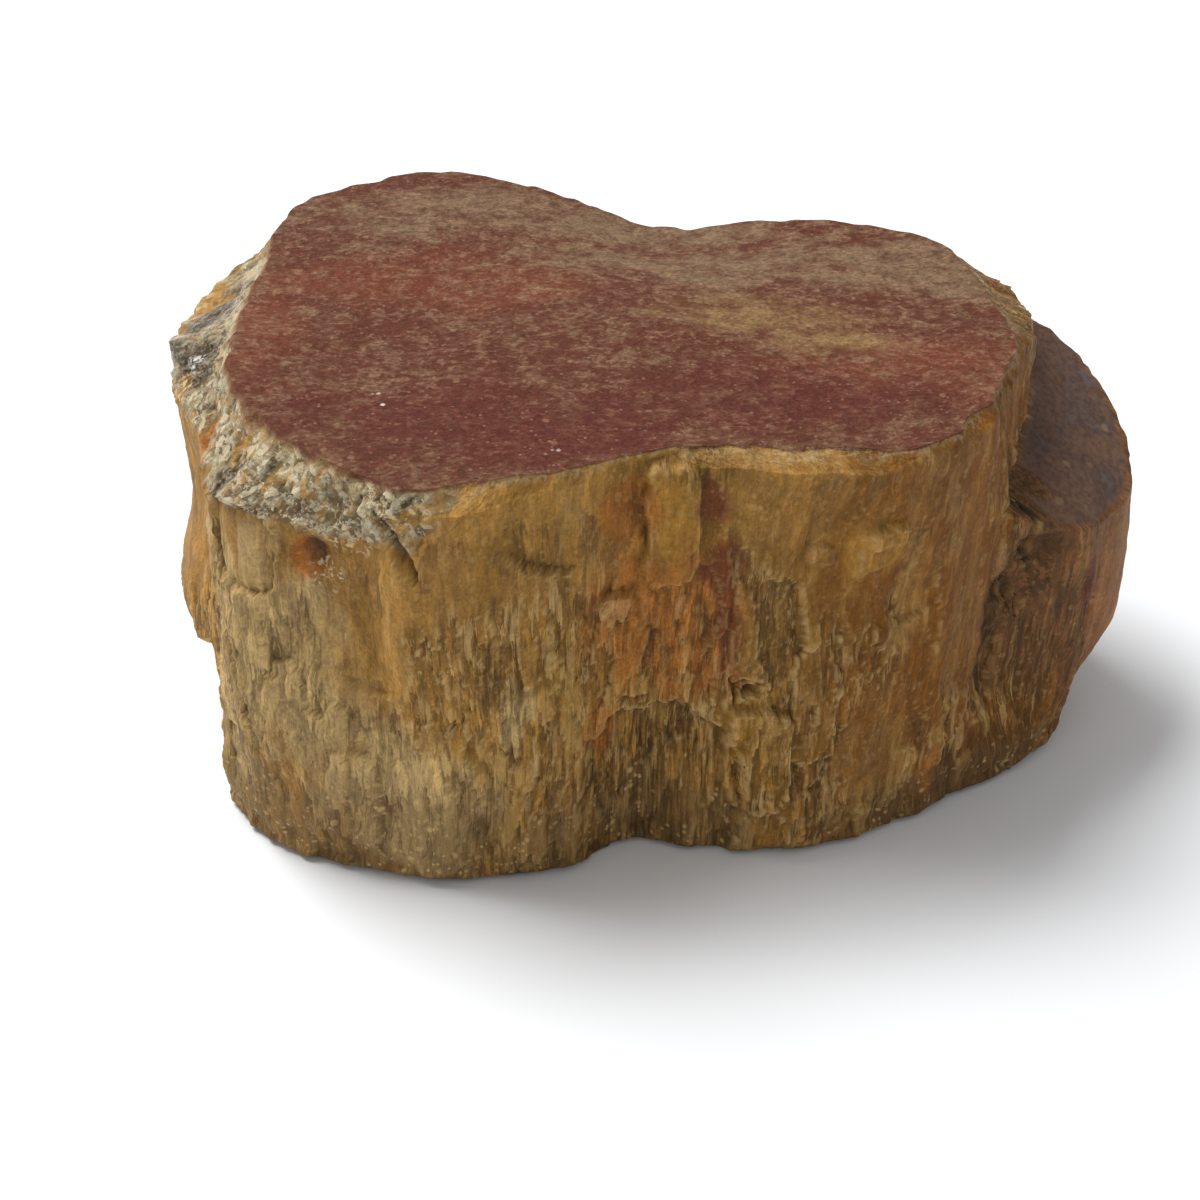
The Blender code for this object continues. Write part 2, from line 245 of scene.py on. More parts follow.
# Cuts: angle and height of both ends, half width and depth
CUTS = {
    "slit": (-122.0, 0.0228, -116.2, 0.0194, 0.00060, 0.0007),
    "lobe_crevice": (-22.2, 0.0168, -24.3, 0.0105, 0.00040, 0.0008),
    "lobe_seam": (-24.3, 0.0105, -26.5, 0.0050, 0.00030, 0.0004),
    "lobe_crack": (-14.0, 0.0125, -17.0, 0.0050, 0.00040, 0.0003),
    "wine_cut": (-70.6, 0.0192, -71.2, 0.0124, 0.00025, 0.0002),
    "left_seam": (-147.0, 0.0200, -141.0, 0.0080, 0.00030, 0.0004),
    "ledge_cut": (-90.0, 0.0098, -84.0, 0.0095, 0.00035, 0.0004),
    "notch_cut": (-68.6, 0.0104, -66.0, 0.0106, 0.00035, 0.0005),
    "back_cut": (70.0, 0.0180, 76.0, 0.0030, 0.00040, 0.0005),
    "back_seam": (124.0, 0.0200, 128.0, 0.0060, 0.00035, 0.0004),
}
CUT_END = 0.05  # the square of a cut's width at its ends, as a share of its middle's
# Where the crevice beside the lobe is full of broken chunks, and what size they are
CREVICE_SPOTS = (
    (-21.8, 0.0168, 0.0011, 0.0016), (-22, 0.0144, 0.0013, 0.0012), (-24.4, 0.0118, 0.0008, 0.0020),
    (-22.4, 0.0126, 0.0011, 0.0012), (-20.4, 0.0186, 0.0012, 0.0018), (-17.5, 0.0172, 0.0012, 0.0008),
)
CHUNKS = (0.0006, 0.00018)  # size and depth

# Colour patches on the wall: angle, height, half width, half height
WALL_SPOTS = {
    "rust": (
        (-81, 0.0150, 0.0036, 0.0046), (-88, 0.0212, 0.0014, 0.0016), (-10, 0.0080, 0.0030, 0.0050),
        (100, 0.0150, 0.0050, 0.0040), (60, 0.0060, 0.0040, 0.0040),
    ),
    "orange": (
        (-156, 0.0213, 0.0008, 0.0009), (-93.5, 0.0078, 0.0009, 0.0020), (-132.2, 0.0192, 0.0009, 0.0011),
        (-38, 0.0030, 0.0006, 0.0012), (130, 0.0180, 0.0012, 0.0016),
    ),
    "wine": (
        (-71, 0.0150, 0.0006, 0.0034), (-75, 0.0214, 0.0009, 0.0013), (-72, 0.0178, 0.0010, 0.0014),
        (-16.3, 0.0114, 0.0005, 0.0024), (72, 0.0150, 0.0010, 0.0050),
    ),
    "olive": (
        (-104, 0.0165, 0.0040, 0.0055), (-55, 0.0165, 0.0045, 0.0050), (140, 0.0120, 0.0060, 0.0070),
    ),
    "gold": (
        (-81, 0.0203, 0.0012, 0.0034), (-67, 0.0068, 0.0014, 0.0030), (-91, 0.0162, 0.0009, 0.0009),
        (171, 0.0214, 0.0030, 0.0008), (-162, 0.0100, 0.0030, 0.0080), (-136, 0.0125, 0.0025, 0.0040),
        (-8, 0.0090, 0.0026, 0.0050), (-50, 0.0185, 0.0014, 0.0016), (-156, 0.0213, 0.0014, 0.0015),
        (-146, 0.0224, 0.0008, 0.0006), (-117, 0.0228, 0.0014, 0.0006),
    ),
    "pale": (
        (-135.5, 0.0120, 0.0032, 0.0056), (-147, 0.0130, 0.0024, 0.0070), (-139.3, 0.0188, 0.0007, 0.0018),
        (-136, 0.0203, 0.0004, 0.0014), (-121, 0.0055, 0.0050, 0.0040), (-150, 0.0050, 0.0030, 0.0040),
        (-107, 0.0102, 0.0006, 0.0019), (-104.5, 0.0112, 0.0004, 0.0010), (-113, 0.0070, 0.0004, 0.0013),
        (-91, 0.0162, 0.0009, 0.0009), (160, 0.0120, 0.0040, 0.0060), (112, 0.0070, 0.0030, 0.0040),
    ),
    # Painted shade in hollows, under the rim and low down on the wall
    "dim": (
        (2, 0.0229, 0.0060, 0.0010), (-22, 0.0222, 0.0020, 0.0010), (-77, 0.0234, 0.0020, 0.0007),
        (-84, 0.0044, 0.0034, 0.0040), (-28, 0.0020, 0.0050, 0.0018), (-104, 0.0204, 0.0014, 0.0018),
        (-88, 0.0010, 0.0060, 0.0012), (-146, 0.0180, 0.0012, 0.0022), (-20, 0.0070, 0.0030, 0.0060),
        (-109, 0.0125, 0.0010, 0.0022), (80, 0.0060, 0.0050, 0.0050),
    ),
    "dusk": (
        (-21, 0.0115, 0.0040, 0.0056), (-24.8, 0.0080, 0.0010, 0.0030), (-23.8, 0.0145, 0.0010, 0.0026),
        (-18, 0.0152, 0.0034, 0.0024), (-8, 0.0150, 0.0060, 0.0018), (-17, 0.0095, 0.0030, 0.0052),
        (-12, 0.0110, 0.0020, 0.0034), (8, 0.0150, 0.0060, 0.0060),
    ),
    "frost": (
        (-130.2, 0.0184, 0.0009, 0.0010), (-127, 0.0206, 0.0014, 0.0008), (-150, 0.0196, 0.0006, 0.0006),
        (-170, 0.0205, 0.0016, 0.0010), (-120, 0.0228, 0.0020, 0.0006),
    ),
    "dirt": (
        (-128, 0.0026, 0.0120, 0.0034), (-80, 0.0020, 0.0050, 0.0024), (-32, 0.0012, 0.0080, 0.0022),
        (170, 0.0020, 0.0100, 0.0030), (80, 0.0020, 0.0120, 0.0030),
    ),
    # Painted shade: in the crevice and seam beside the lobe, in the amber pit, in the slit and in a narrow
    # line on the back
    "dark": (
        (-22.2, 0.0180, 0.0006, 0.0036), (-22.0, 0.0144, 0.0016, 0.0010), (-24.4, 0.0124, 0.0008, 0.0011),
        (-25.4, 0.0100, 0.0004, 0.0020), (-26.5, 0.0075, 0.0003, 0.0030), (-131.8, 0.0195, 0.0005, 0.0007),
        (-119, 0.0210, 0.0003, 0.0010), (60, 0.0110, 0.0006, 0.0050),
    ),
    "smoky": (
        (-173, 0.0222, 0.0026, 0.0014), (174, 0.0224, 0.0024, 0.0009), (-145, 0.0212, 0.0012, 0.0009),
    ),
    # A painted glint on the smoky quartz
    "silver": (
        (-172, 0.0217, 0.0008, 0.0006),
    ),
}
# Colour patches on the top: x, y, half sizes
TOP_SPOTS = {
    "taupe": (
        (-0.0010, 0.0105, 0.0100, 0.0030), (0.0040, 0.0050, 0.0070, 0.0026),
        (0.0130, 0.0035, 0.0060, 0.0022), (-0.0100, 0.0110, 0.0070, 0.0030),
        (0.0150, 0.0052, 0.0055, 0.0020),
    ),
    "ochre": (
        (0.0048, -0.0008, 0.0046, 0.0019), (0.0090, -0.0030, 0.0030, 0.0012),
    ),
    "scarlet": (
        (-0.0195, -0.0020, 0.0020, 0.0045), (-0.0100, 0.0030, 0.0080, 0.0030),
        (0.0125, -0.0065, 0.0060, 0.0030),
    ),
    # Where the top's painted glints go
    "glint": (
        (-0.0034, -0.0134, 0.0016, 0.0008), (-0.0125, -0.0095, 0.0010, 0.0008),
    ),
    "plum": (
        (-0.0080, -0.0115, 0.0100, 0.0035), (0.0080, -0.0090, 0.0080, 0.0030),
    ),
}
# Which noise frays each mask's patches
PATCH_SEEDS = {
    "rust": 90, "orange": 92, "wine": 94, "olive": 96, "gold": 98, "pale": 114, "dim": 116, "dusk": 120,
    "frost": 122, "dirt": 100, "dark": 108, "smoky": 110, "silver": 118,
    "taupe": 102, "ochre": 104, "scarlet": 106, "glint": 124, "plum": 112,
}
# The share and the sizes of what frays patches: across and along on the wall, along X and Y on the top
WALL_PATCH_RAG = ((0.35, (0.0009, 0.0022)), (0.25, (0.0022, 0.0040)))
TOP_PATCH_RAG = ((0.40, (0.0018, 0.0010)), (0.30, (0.0045, 0.0030)))
MASK_RAG = ((0.0006, 0.5), (0.0016, 0.5))  # size and share of what frays the other masks
# The painted contact shadow and the dirt at the foot: the heights between which each ends, and how far those
# wander
FOOT_SHADES = ((0.0001, 0.0008, 0.0004), (0.0002, 0.0010, 0.0003))
TOP_EDGE = (0.80, 0.97)  # the top's look starts between these shares of the way in over the bevel
BROWN_FROM = (-70, -45)  # the right end's darker, browner wall, partly painted shade; in degrees
BROWN_TO = (60, 20)
RUST_SIZE = (0.0040, 0.0060)  # the rust scattered over the back, across and along the fibres
RUST_EDGE = (0.25, 0.6)
RUST_BACK = (-0.2, 0.6)  # how far a direction points backwards where that rust starts
EDGE_RELIEF = (0.00002, 0.00007)  # how far an edge stands out of its neighbours to be painted pale: partly wear, partly painted highlight
CAVITY_RELIEF = (0.00004, 0.00030)  # depths below the relief round about between which a hollow's painted shade grows
PROUD_RANGE = 0.00050  # from the deepest plates to the proudest
RIM_EDGE = (0.25, 0.70)  # the rim's pale line starts between these shares of the way in over the bevel
CHIP_EDGE = (0.40, 0.60)
# How much of the broken edge round the top is flaky quartz
CHIPPING = {
    -180: 0.9, -161: 1.0, -126: 1.0, -117: 0.7, -106: 0.15, -90: 0.10, -68: 0.30, -50: 0.30, -40: 0.1,
    -10: 0.15, 12: 0.35, 60: 0.20, 110: 0.15, 140: 0.25, 160: 0.45, 172: 0.75,
}

# How pale the rim's own line is
RIM_PALENESS = {
    -180: 0.8, -168: 1.0, -160: 0.2, -130: 0.3, -112: 0.4, -90: 0.4, -74: 0.3, -65: 0.42, -50: 0.42, -43: 0.3,
    12: 0.3, 60: 0.2, 110: 0.2, 150: 0.4,
}

# ---------------------------------------------------------------- camera, light and floor
CAMERA_PLACE = (-0.00230, -0.09550, 0.07493)
CAMERA_TILT = 36  # degrees below the horizon
CAMERA_LENS = 63  # mm, on a 36 mm sensor
CAMERA_CLIP = 0.005
FLOOR_SIZE = 3.0
FLOOR_ROUGHNESS = 0.9
KEY_PLACE = (-0.44, 0.24, 0.94)
KEY_SIZE = 0.50
KEY_POWER = 11.3
SKY_STRENGTH = 0.43

# ---------------------------------------------------------------- colours, in linear light
HONEY = (0.413, 0.207, 0.041)
OLIVE = (0.297, 0.149, 0.025)
TAN = (0.211, 0.071, 0.004)
SAND = (0.583, 0.400, 0.168)
STRAW = (0.517, 0.302, 0.082)
CREAM = (0.638, 0.432, 0.178)
CHALK = (0.640, 0.500, 0.290)
DUN = (0.253, 0.127, 0.032)
UMBER = (0.085, 0.042, 0.012)
RUST = (0.372, 0.110, 0.012)
ORANGE = (0.420, 0.120, 0.012)
WINE = (0.138, 0.020, 0.010)
GOLD = (0.440, 0.213, 0.027)
EARTH = (0.184, 0.113, 0.047)
SHADE = (0.040, 0.023, 0.009)
# White quartz, also painted as highlights on the chipped edge
QUARTZ = (0.672, 0.594, 0.414)
GREY = (0.326, 0.261, 0.144)
SMOKE = (0.095, 0.069, 0.038)
MAROON = (0.116, 0.032, 0.016)
SCARLET = (0.161, 0.042, 0.019)
DAMSON = (0.109, 0.025, 0.015)
TAUPE = (0.215, 0.143, 0.079)
OCHRE = (0.286, 0.180, 0.068)
PINK = (0.332, 0.188, 0.112)
GLINT = (0.800, 0.740, 0.700)
PLUM = (0.108, 0.063, 0.048)
RUSSET = (0.220, 0.095, 0.038)
BARK = (0.140, 0.076, 0.046)
SLATE = (0.115, 0.100, 0.095)
CINNAMON = (0.300, 0.180, 0.100)
FLOOR_WHITE = (0.895, 0.915, 0.935)

# ---------------------------------------------------------------- finish of the stone
# The masks that each finish reads, and those that mix the finishes
WALL_MASKS = (
    "proud", "calm", "shade", "slats", "edge", "cavity", "brown", "rust", "orange", "wine", "olive", "gold",
    "pale", "dim", "dusk", "dirt", "dark",
)
TOP_MASKS = ("taupe", "ochre", "scarlet", "plum", "frost")
QUARTZ_MASKS = ("edge", "cavity", "orange", "gold", "smoky", "silver")
EDGE_MASKS = ("top", "chipped", "lobe_face", "rim_line", "frost", "crevice", "dark", "smoky")
# Streaks that the wall and the top are painted with: sizes across and along, and which pattern
WALL_STREAKS = {
    "wide": (0.0026, 0.0090, 3.1),
    "middle": (0.0007, 0.0032, 7.7),
    "narrow": (0.00018, 0.0020, 11.3),
    "mottle": (0.00042, 0.00075, 18.2),
    "sand": (0.00015, 0.00022, 19.4),
}
TOP_STREAKS = {
    "cloud": (0.0030, 0.0045, 2.0),
    "mottle": (0.00090, 0.0011, 4.0),
    "fleck": (0.00034, 0.00042, 5.0),
    "grain": (0.00016, 0.00022, 6.0),
}
SPLIT_PLATE = (0.00036, 0.0019)  # size of the painted plates, across and along
QUARTZ_GRAINS = 2300.0  # grains of quartz in a metre
# The wall's own tints and its stains, from the lowest up: mask, strength and colour
# The Brown tint darkens the right end: partly painted shade on the side away from the key light
WALL_TINTS = (("Brown", 0.95, TAN), ("Gold", 0.85, GOLD), ("Pale", 0.75, SAND))
WALL_STAINS = (("Rust", 0.65, RUST), ("Orange", 0.80, ORANGE), ("Dusk", 0.70, RUSSET), ("Wine", 0.74, WINE))
WALL_ROUGHNESS = 0.60
ROUGHER = {"chipped": -0.26, "top": 0.15, "lobe_face": -0.10, "smoky": -0.12}  # than the wall
QUARTZ_IOR = 1.54
SHINE = 0.16
BUMP_STRENGTH = 0.9
BUMP_DISTANCE = 0.00012
NOTHING = 0.001  # a mask below this doesn't show


def around(points, angle):
    """The smooth closed curve through (degrees: value) points, as cubic Hermite pieces, at each angle."""
    known = np.array(sorted(points), float)
    value = np.array([points[a] for a in sorted(points)], float)
    known = np.concatenate([known[-2:] - 360, known, known[:3] + 360])
    value = np.concatenate([value[-2:], value, value[:3]])
    slope = np.zeros_like(value)
    slope[1:-1] = (value[2:] - value[:-2]) / (known[2:] - known[:-2])
    turned = (np.degrees(angle) + 180) % 360 - 180
    i = np.clip(np.searchsorted(known, turned, side="right") - 1, 1, len(known) - 3)
    span = known[i + 1] - known[i]
    s = (turned - known[i]) / span
    start = value[i] * (1 + 2 * s) + slope[i] * span * s
    end = value[i + 1] * (3 - 2 * s) - slope[i + 1] * span * (1 - s)
    return start * (1 - s) ** 2 + end * s**2


def ramp(low, high, value):
    """0 below low, 1 above high, and the S-curve 3t^2 - 2t^3 between them."""
    t = np.clip((value - low) / (high - low), 0, 1)
    return t * t * (3 - 2 * t)


def hashed(ix, iy, iz, seed):
    """A fixed value from 0 to 1 for each whole-number corner of space."""
    h = (ix * 374761393 + iy * 668265263 + iz * 1274126177 + seed * 69069).astype(np.uint64)
    h = h & np.uint64(0xFFFFFFFF)
    h = ((h ^ (h >> np.uint64(13))) * np.uint64(1103515245)) & np.uint64(0xFFFFFFFF)
    h = h ^ (h >> np.uint64(16))
    return (h & np.uint64(0xFFFF)).astype(float) / 65535


def noise(x, y, z, seed):
    """Smooth noise from -1 to 1: the hashed values of the eight corners round a point, blended."""
    whole = [np.floor(c).astype(np.int64) for c in (x, y, z)]
    fade = [(c - w) ** 2 * (3 - 2 * (c - w)) for c, w in zip((x, y, z), whole)]
    total = np.zeros(np.broadcast(x, y, z).shape)
    for corner in range(8):
        step = (corner & 1, corner >> 1 & 1, corner >> 2 & 1)
        weight = math.prod(f if s else 1 - f for f, s in zip(fade, step))
        total += weight * hashed(*(w + s for w, s in zip(whole, step)), seed)
    return 2 * total - 1


def even_noise(x, y, z, size, seed):
    """Noise with one size of feature every way."""
    return noise(x / size, y / size, z / size, seed)


def fibre_noise(x, y, z, size, seed):
    """Noise drawn out along the upright fibres; size is (across, along)."""
    across, along = size
    return noise(x / across, y / across, z / along, seed)


def place(angle, height, spot):
    """Where each point is from a spot's middle, across the wall and upright, in the spot's half widths."""
    spot_angle, spot_height, half_width, half_height = spot[:4]
    arc = unroll(angle) - unroll(math.radians(spot_angle))
    arc = (arc + GIRTH / 2) % GIRTH - GIRTH / 2
    return arc / half_width, (height - spot_height) / half_height


def spotted(angle, height, spots, rag):
    """1 inside each spot's oval on the wall and 0 outside. rag shifts the soft edge, in half widths."""
    found = np.zeros(height.shape)
    for spot in spots:
        across, upright = place(angle, height, spot)
        found = np.maximum(found, 1 - ramp(*SPOT_EDGE, np.hypot(across, upright) + rag))
    return found


def plates(x, y, height, angle, spots):
    """Flat patches with steep ragged edges: a squared-off oval, less a slope, whose edge is shifted by noise.

    How far a point is inside the edge is taken as one less the distance in half widths, times the shorter
    of them.
    """
    rag = PLATE_RAGGEDNESS * layered(x, y, height, PLATE_RAG, 5)
    total = np.zeros_like(height)
    for spot in spots.values():
        across, upright = place(angle, height, spot)
        distance = (np.abs(across) ** 4 + np.abs(upright) ** 4) ** 0.25 + rag
        inside = (1 - distance) * min(spot[2:4])
        total += spot[4] * ramp(-PLATE_SLOPE, PLATE_SLOPE, inside)
    return total


def pits(angle, height):
    """Round-bottomed hollows with steep sides: a fourth-power bell across and upright."""
    total = np.zeros_like(height)
    for spot in PITS.values():
        across, upright = place(angle, height, spot)
        total += spot[4] * np.exp(-((across**2 + upright**2) ** 2))
    return total


def scoops(angle, height):
    """Hollows left by flakes: depth falls evenly from the lower edge up, and as 1 - u^2 to the sides.

    The lower edge itself is a short steep slope, and it curves up towards the sides.
    """
    total = np.zeros_like(height)
    for spot_angle, edge_height, half_width, covered, depth, slant in SCOOPS.values():
        across, upright = place(angle, height, (spot_angle, edge_height, half_width, covered))
        above = upright + slant * across - SCOOP_CURVE * across**2
        profile = np.clip(1 - above, 0, 1) * ramp(-PLATE_SLOPE, PLATE_SLOPE, above * covered)
        total -= depth * profile * np.clip(1 - across**2, 0, 1)
    return total


def cuts(angle, height):
    """Straight narrow grooves: V-shaped in section, from the distance to each one's middle line."""
    total = np.zeros_like(height)
    for start_angle, start_height, end_angle, end_height, half_width, depth in CUTS.values():
        across, upright = place(angle, height, (start_angle, start_height, 1, 1))
        run = np.radians(end_angle - start_angle) * around(BLOCK, np.radians(start_angle))
        rise = end_height - start_height
        share = np.clip((across * run + upright * rise) / (run**2 + rise**2), 0, 1)
        away = np.hypot(across - share * run, upright - share * rise)
        tapered = half_width * np.sqrt(np.clip(4 * share * (1 - share), CUT_END, 1))
        total -= depth * np.clip(1 - away / tapered, 0, 1)
    return total


def stepped(level, steps, edge):
    """A value cut into level steps, each with a short S-curve slope up to the next."""
    floor = np.floor(level * steps)
    return (floor + ramp(0, edge, level * steps - floor)) / steps


def main_relief(x, y, height, angle):
    """How far the wall's larger relief stands out: lumps, fibre bundles, ledges, plates and pits."""
    lumps = LUMP_DEPTH * even_noise(x, y, height, LUMP_SIZE, 1)
    bundles = BUNDLE_DEPTH * fibre_noise(x, y, height, BUNDLE_SIZE, 2)
    level = stepped(fibre_noise(x, y, height, LEDGE_SIZE, 3), LEDGE_STEPS, LEDGE_EDGE)
    ledges = LEDGES_SHOWN * LEDGE_DEPTH * level
    return lumps + bundles + ledges + plates(x, y, height, angle, PLATES) + pits(angle, height)


def top_height(x, y):
    """The top face: nearly flat, with a slow swell and a dip where its back edge sags."""
    swell = TOP_SWELL_DEPTH * even_noise(x, y, 0 * x, TOP_SWELL_SIZE, 4)
    dip_x, dip_y, dip_radius, dip_depth = SADDLE
    dip = dip_depth * np.exp(-((x - dip_x) ** 2 + (y - dip_y) ** 2) / dip_radius**2)
    return HEIGHT + swell - dip


def wall_radius(angle, height):
    """The wall below the bevel: the foot grows into the block or the lobe, whichever is further out.

    The lobe ends at its two sloping planes. At a given height, a plane's radius is its height at the axis
    less that height, divided by its fall along that direction. Also returned: 1 on the lobe's sloping
    planes and 0 elsewhere, and the same with the smooth strip round them.
    """
    grown = ramp(*FOOT_RISE, height)
    foot = around(FOOT, angle)
    upright = foot + (around(LOBE, angle) - foot) * grown
    lobe = upright
    for axis_height, fall_x, fall_y in LOBE_PLANES:
        fall = np.maximum(fall_x * np.cos(angle) + fall_y * np.sin(angle), 0.01)
        lobe = np.minimum(lobe, np.maximum(axis_height - height, 0) / fall)
    block = foot + (around(BLOCK, angle) - foot) * grown
    worn = ramp(0, BASE_ROUND, height)
    on_face = ramp(*FACE_OUT, lobe - block) * ramp(*FACE_IN, upright - lobe)
    near_face = ramp(*NEAR_FACE_OUT, lobe - block) * ramp(*NEAR_FACE_IN, upright - lobe)
    above_face = ramp(*ABOVE_FACE_OUT, lobe - block) * ramp(*ABOVE_FACE_HEIGHT, height)
    near_face = np.maximum(near_face, 0.8 * above_face)
    return np.maximum(block, lobe) - BASE_INSET * (1 - worn) ** 2, on_face, near_face


def to_xy(angle, radius):
    """The place at an angle and a radius from the axis."""
    return AXIS[0] + radius * np.cos(angle), AXIS[1] + radius * np.sin(angle)


def outline(angle):
    """The block's outline with the lobe's where it reaches further out."""
    return np.maximum(around(BLOCK, angle), around(LOBE, angle))


def measured_outline(front_share=1.0):
    """Angles round the outline with the distance to each. Steps on the front count front_share times."""
    fine = np.linspace(-math.pi, math.pi, OUTLINE_STEPS)
    x, y = to_xy(fine, outline(fine))
    counted = 1 + (front_share - 1) * ramp(*FRONT, -np.sin(fine[1:]))
    return fine, np.concatenate([[0], np.cumsum(np.hypot(np.diff(x), np.diff(y)) * counted)])


def unroll(angle):
    """The distance round the outline to each angle, from -180 degrees, in metres."""
    return np.interp((angle + math.pi) % (2 * math.pi) - math.pi, *measured_outline())


def column_angles():
    """Angles that divide the wall into columns: of equal width, but closer together on the front."""
    fine, length = measured_outline(FRONT_SHARE)
    return np.interp(np.arange(COLUMNS) / COLUMNS * length[-1], length, fine)


GIRTH = float(unroll(math.pi - 1e-9))


def splinters(turn, height, sizes, seed):
    """Long flat plates side by side: each stands out or in by its own amount and tilts a little.

    Each point takes the plate whose hashed middle is nearest, out of the nine cells round it, where
    nearness is the sum of fourth powers across and along, so that plates are nearly rectangles. turn is the
    distance round the stone. Also returned is each plate's own shade, from 0 to 1.
    """
    width, length, depth, tilt = sizes
    count = round(GIRTH / width)
    across, along = turn / GIRTH * count, height / length
    near_across, near_along = np.floor(across).astype(np.int64), np.floor(along).astype(np.int64)
    nearest = np.full(across.shape, 9.0)
    level, shade = np.zeros(across.shape), np.zeros(across.shape)
    for right, up in np.ndindex(3, 3):
        cell = (near_across + right - 1) % count, near_along + up - 1
        middle = SPLINTER_MIDDLE[0] + SPLINTER_MIDDLE[1] * hashed(*cell, 0, seed)
        away = across - near_across - right + 1 - middle
        distance = away**4 + (along - cell[1] - hashed(*cell, 1, seed)) ** 4
        found = depth * (2 * hashed(*cell, 3, seed) - 1) + tilt * away * (hashed(*cell, 2, seed) - 0.5)
        level = np.where(distance < nearest, found, level)
        shade = np.where(distance < nearest, hashed(*cell, 4, seed), shade)
        nearest = np.minimum(distance, nearest)
    return level, shade


def flakes(x, y, z, size, seed):
    """Small flat facets: each point takes the tilted plane of its nearest hashed centre."""
    p = np.stack([x, y, z]) / size
    whole = np.floor(p).astype(np.int64)
    nearest = np.full(x.shape, 9.0)
    facet = np.zeros(x.shape)
    for move in np.ndindex(3, 3, 3):
        cell = [whole[i] + move[i] - 1 for i in range(3)]
        away = [p[i] - cell[i] - hashed(*cell, seed + i) for i in range(3)]
        distance = away[0] ** 2 + away[1] ** 2 + away[2] ** 2
        plane = sum((hashed(*cell, seed + 3 + i) - 0.5) * away[i] for i in range(3))
        plane = plane * FLAKE_TILT + hashed(*cell, seed + 6) - 0.5
        facet = np.where(distance < nearest, plane, facet)
        nearest = np.minimum(distance, nearest)
    return facet


def layered(x, y, z, layers, seed):
    """Noise of several sizes added up, each (size, depth)."""
    return sum(depth * even_noise(x, y, z, size, seed + i) for i, (size, depth) in enumerate(layers))


def fine_relief(x, y, height, angle, chipped, near_face):
    """What the skin adds to the CAD wall: splinters, raised fibres, grit, flakes and small plates.

    Fibre patterns are worked out on the wall unrolled onto a round drum of the same girth, at the place that
    each fibre passes at LEAN_HEIGHT, so they stay upright over lumps and lean where the fibres lean. Fibre
    noise frays the splinters' ends and edges. All fade where the wall is calm, on the lobe's face and where
    the edge is chipped.
    """
    turn = unroll(angle) + around(LEAN, angle) * (LEAN_HEIGHT - height)
    drum = GIRTH / (2 * math.pi)
    grain_x, grain_y = drum * np.cos(turn / drum), drum * np.sin(turn / drum)
    patchy = even_noise(x, y, height, CALM_PATCH_SIZE, 42)
    calm = ramp(*CALM_HEIGHT, height + CALM_RAG * patchy) * ramp(*CALM_FRONT, -np.sin(angle))
    calm = np.maximum(CALM_TOP * calm, spotted(angle, height, CALM_SPOTS, CALM_SPOT_RAG * patchy))
    rough = 1 - (1 - CALM_ROUGHNESS) * calm
    fray = FRAY_ALONG * rough * fibre_noise(grain_x, grain_y, height, FRAY_SIZE, 40)
    sway = FRAY_ACROSS * fibre_noise(grain_x, grain_y, height, SWAY_SIZE, 45)
    large, large_shade = splinters(turn + sway, height + fray, SPLINTERS["large"], 20)
    middle, middle_shade = splinters(turn + sway, height + fray, SPLINTERS["middle"], 25)
    small, _ = splinters(turn + sway, height + fray, SPLINTERS["small"], 30)
    sparse = ramp(*SLAT_PATCH_EDGE, fibre_noise(x, y, height, SLAT_PATCH_SIZE, 49))
    slats = (middle_shade > 1 - SLAT_SHARE) * sparse * rough
    dash = ramp(*DASH_EDGE, fibre_noise(grain_x, grain_y, height, DASHES, 41))
    fibre = fibre_noise(grain_x, grain_y, height, FIBRES, 44)
    fine = middle + small + SLAT_RISE * slats + DASH_DEPTH * dash + FIBRE_DEPTH * fibre
    half_calm = 1 - 0.5 * calm
    fibrous = large * half_calm + fine * rough
    flaky = sum(depth * flakes(x, y, height, size, 50 + 10 * i) for i, (size, depth) in enumerate(FLAKES))
    frayed_angle = angle + sway / drum
    frayed_height = height + fray
    ragged = plates(x, y, frayed_height, frayed_angle, SMALL_PLATES) + cuts(frayed_angle, height)
    ragged = ragged + scoops(frayed_angle, height + SCOOP_FRAY * fray)
    broken = layered(x, y, height, BASE_RAG, 46) - BASE_WORN
    ragged = ragged + broken * (1 - ramp(0, BASE_RAG_REACH, height))
    crevice = spotted(angle, height, CREVICE_SPOTS, 0)
    for share, where in zip(FIBRES_LOST, (chipped, near_face, crevice)):
        fibrous = fibrous * (1 - share * where)
    relief = fibrous + flaky * chipped + ragged + layered(x, y, height, GRIT, 43) * half_calm
    relief = relief + CHUNKS[1] * crevice * flakes(x, y, height, CHUNKS[0], 70)
    values = {
        "turn": turn, "proud": large + middle, "calm": calm, "crevice": crevice, "slats": slats,
        "shade": 0.5 * large_shade + 0.5 * middle_shade,
    }
    return relief, frayed_angle, height + MAIN_FRAY * fray, values


def top_relief(x, y):
    """The top's low relief: two sizes of noise, and faint streaks that run along X."""
    streaks = TOP_STREAK_DEPTH * noise(x / TOP_STREAK_SIZE[0], y / TOP_STREAK_SIZE[1], 0 * x, 60)
    return streaks + layered(x, y, 0 * x, TOP_GRAIN, 61)


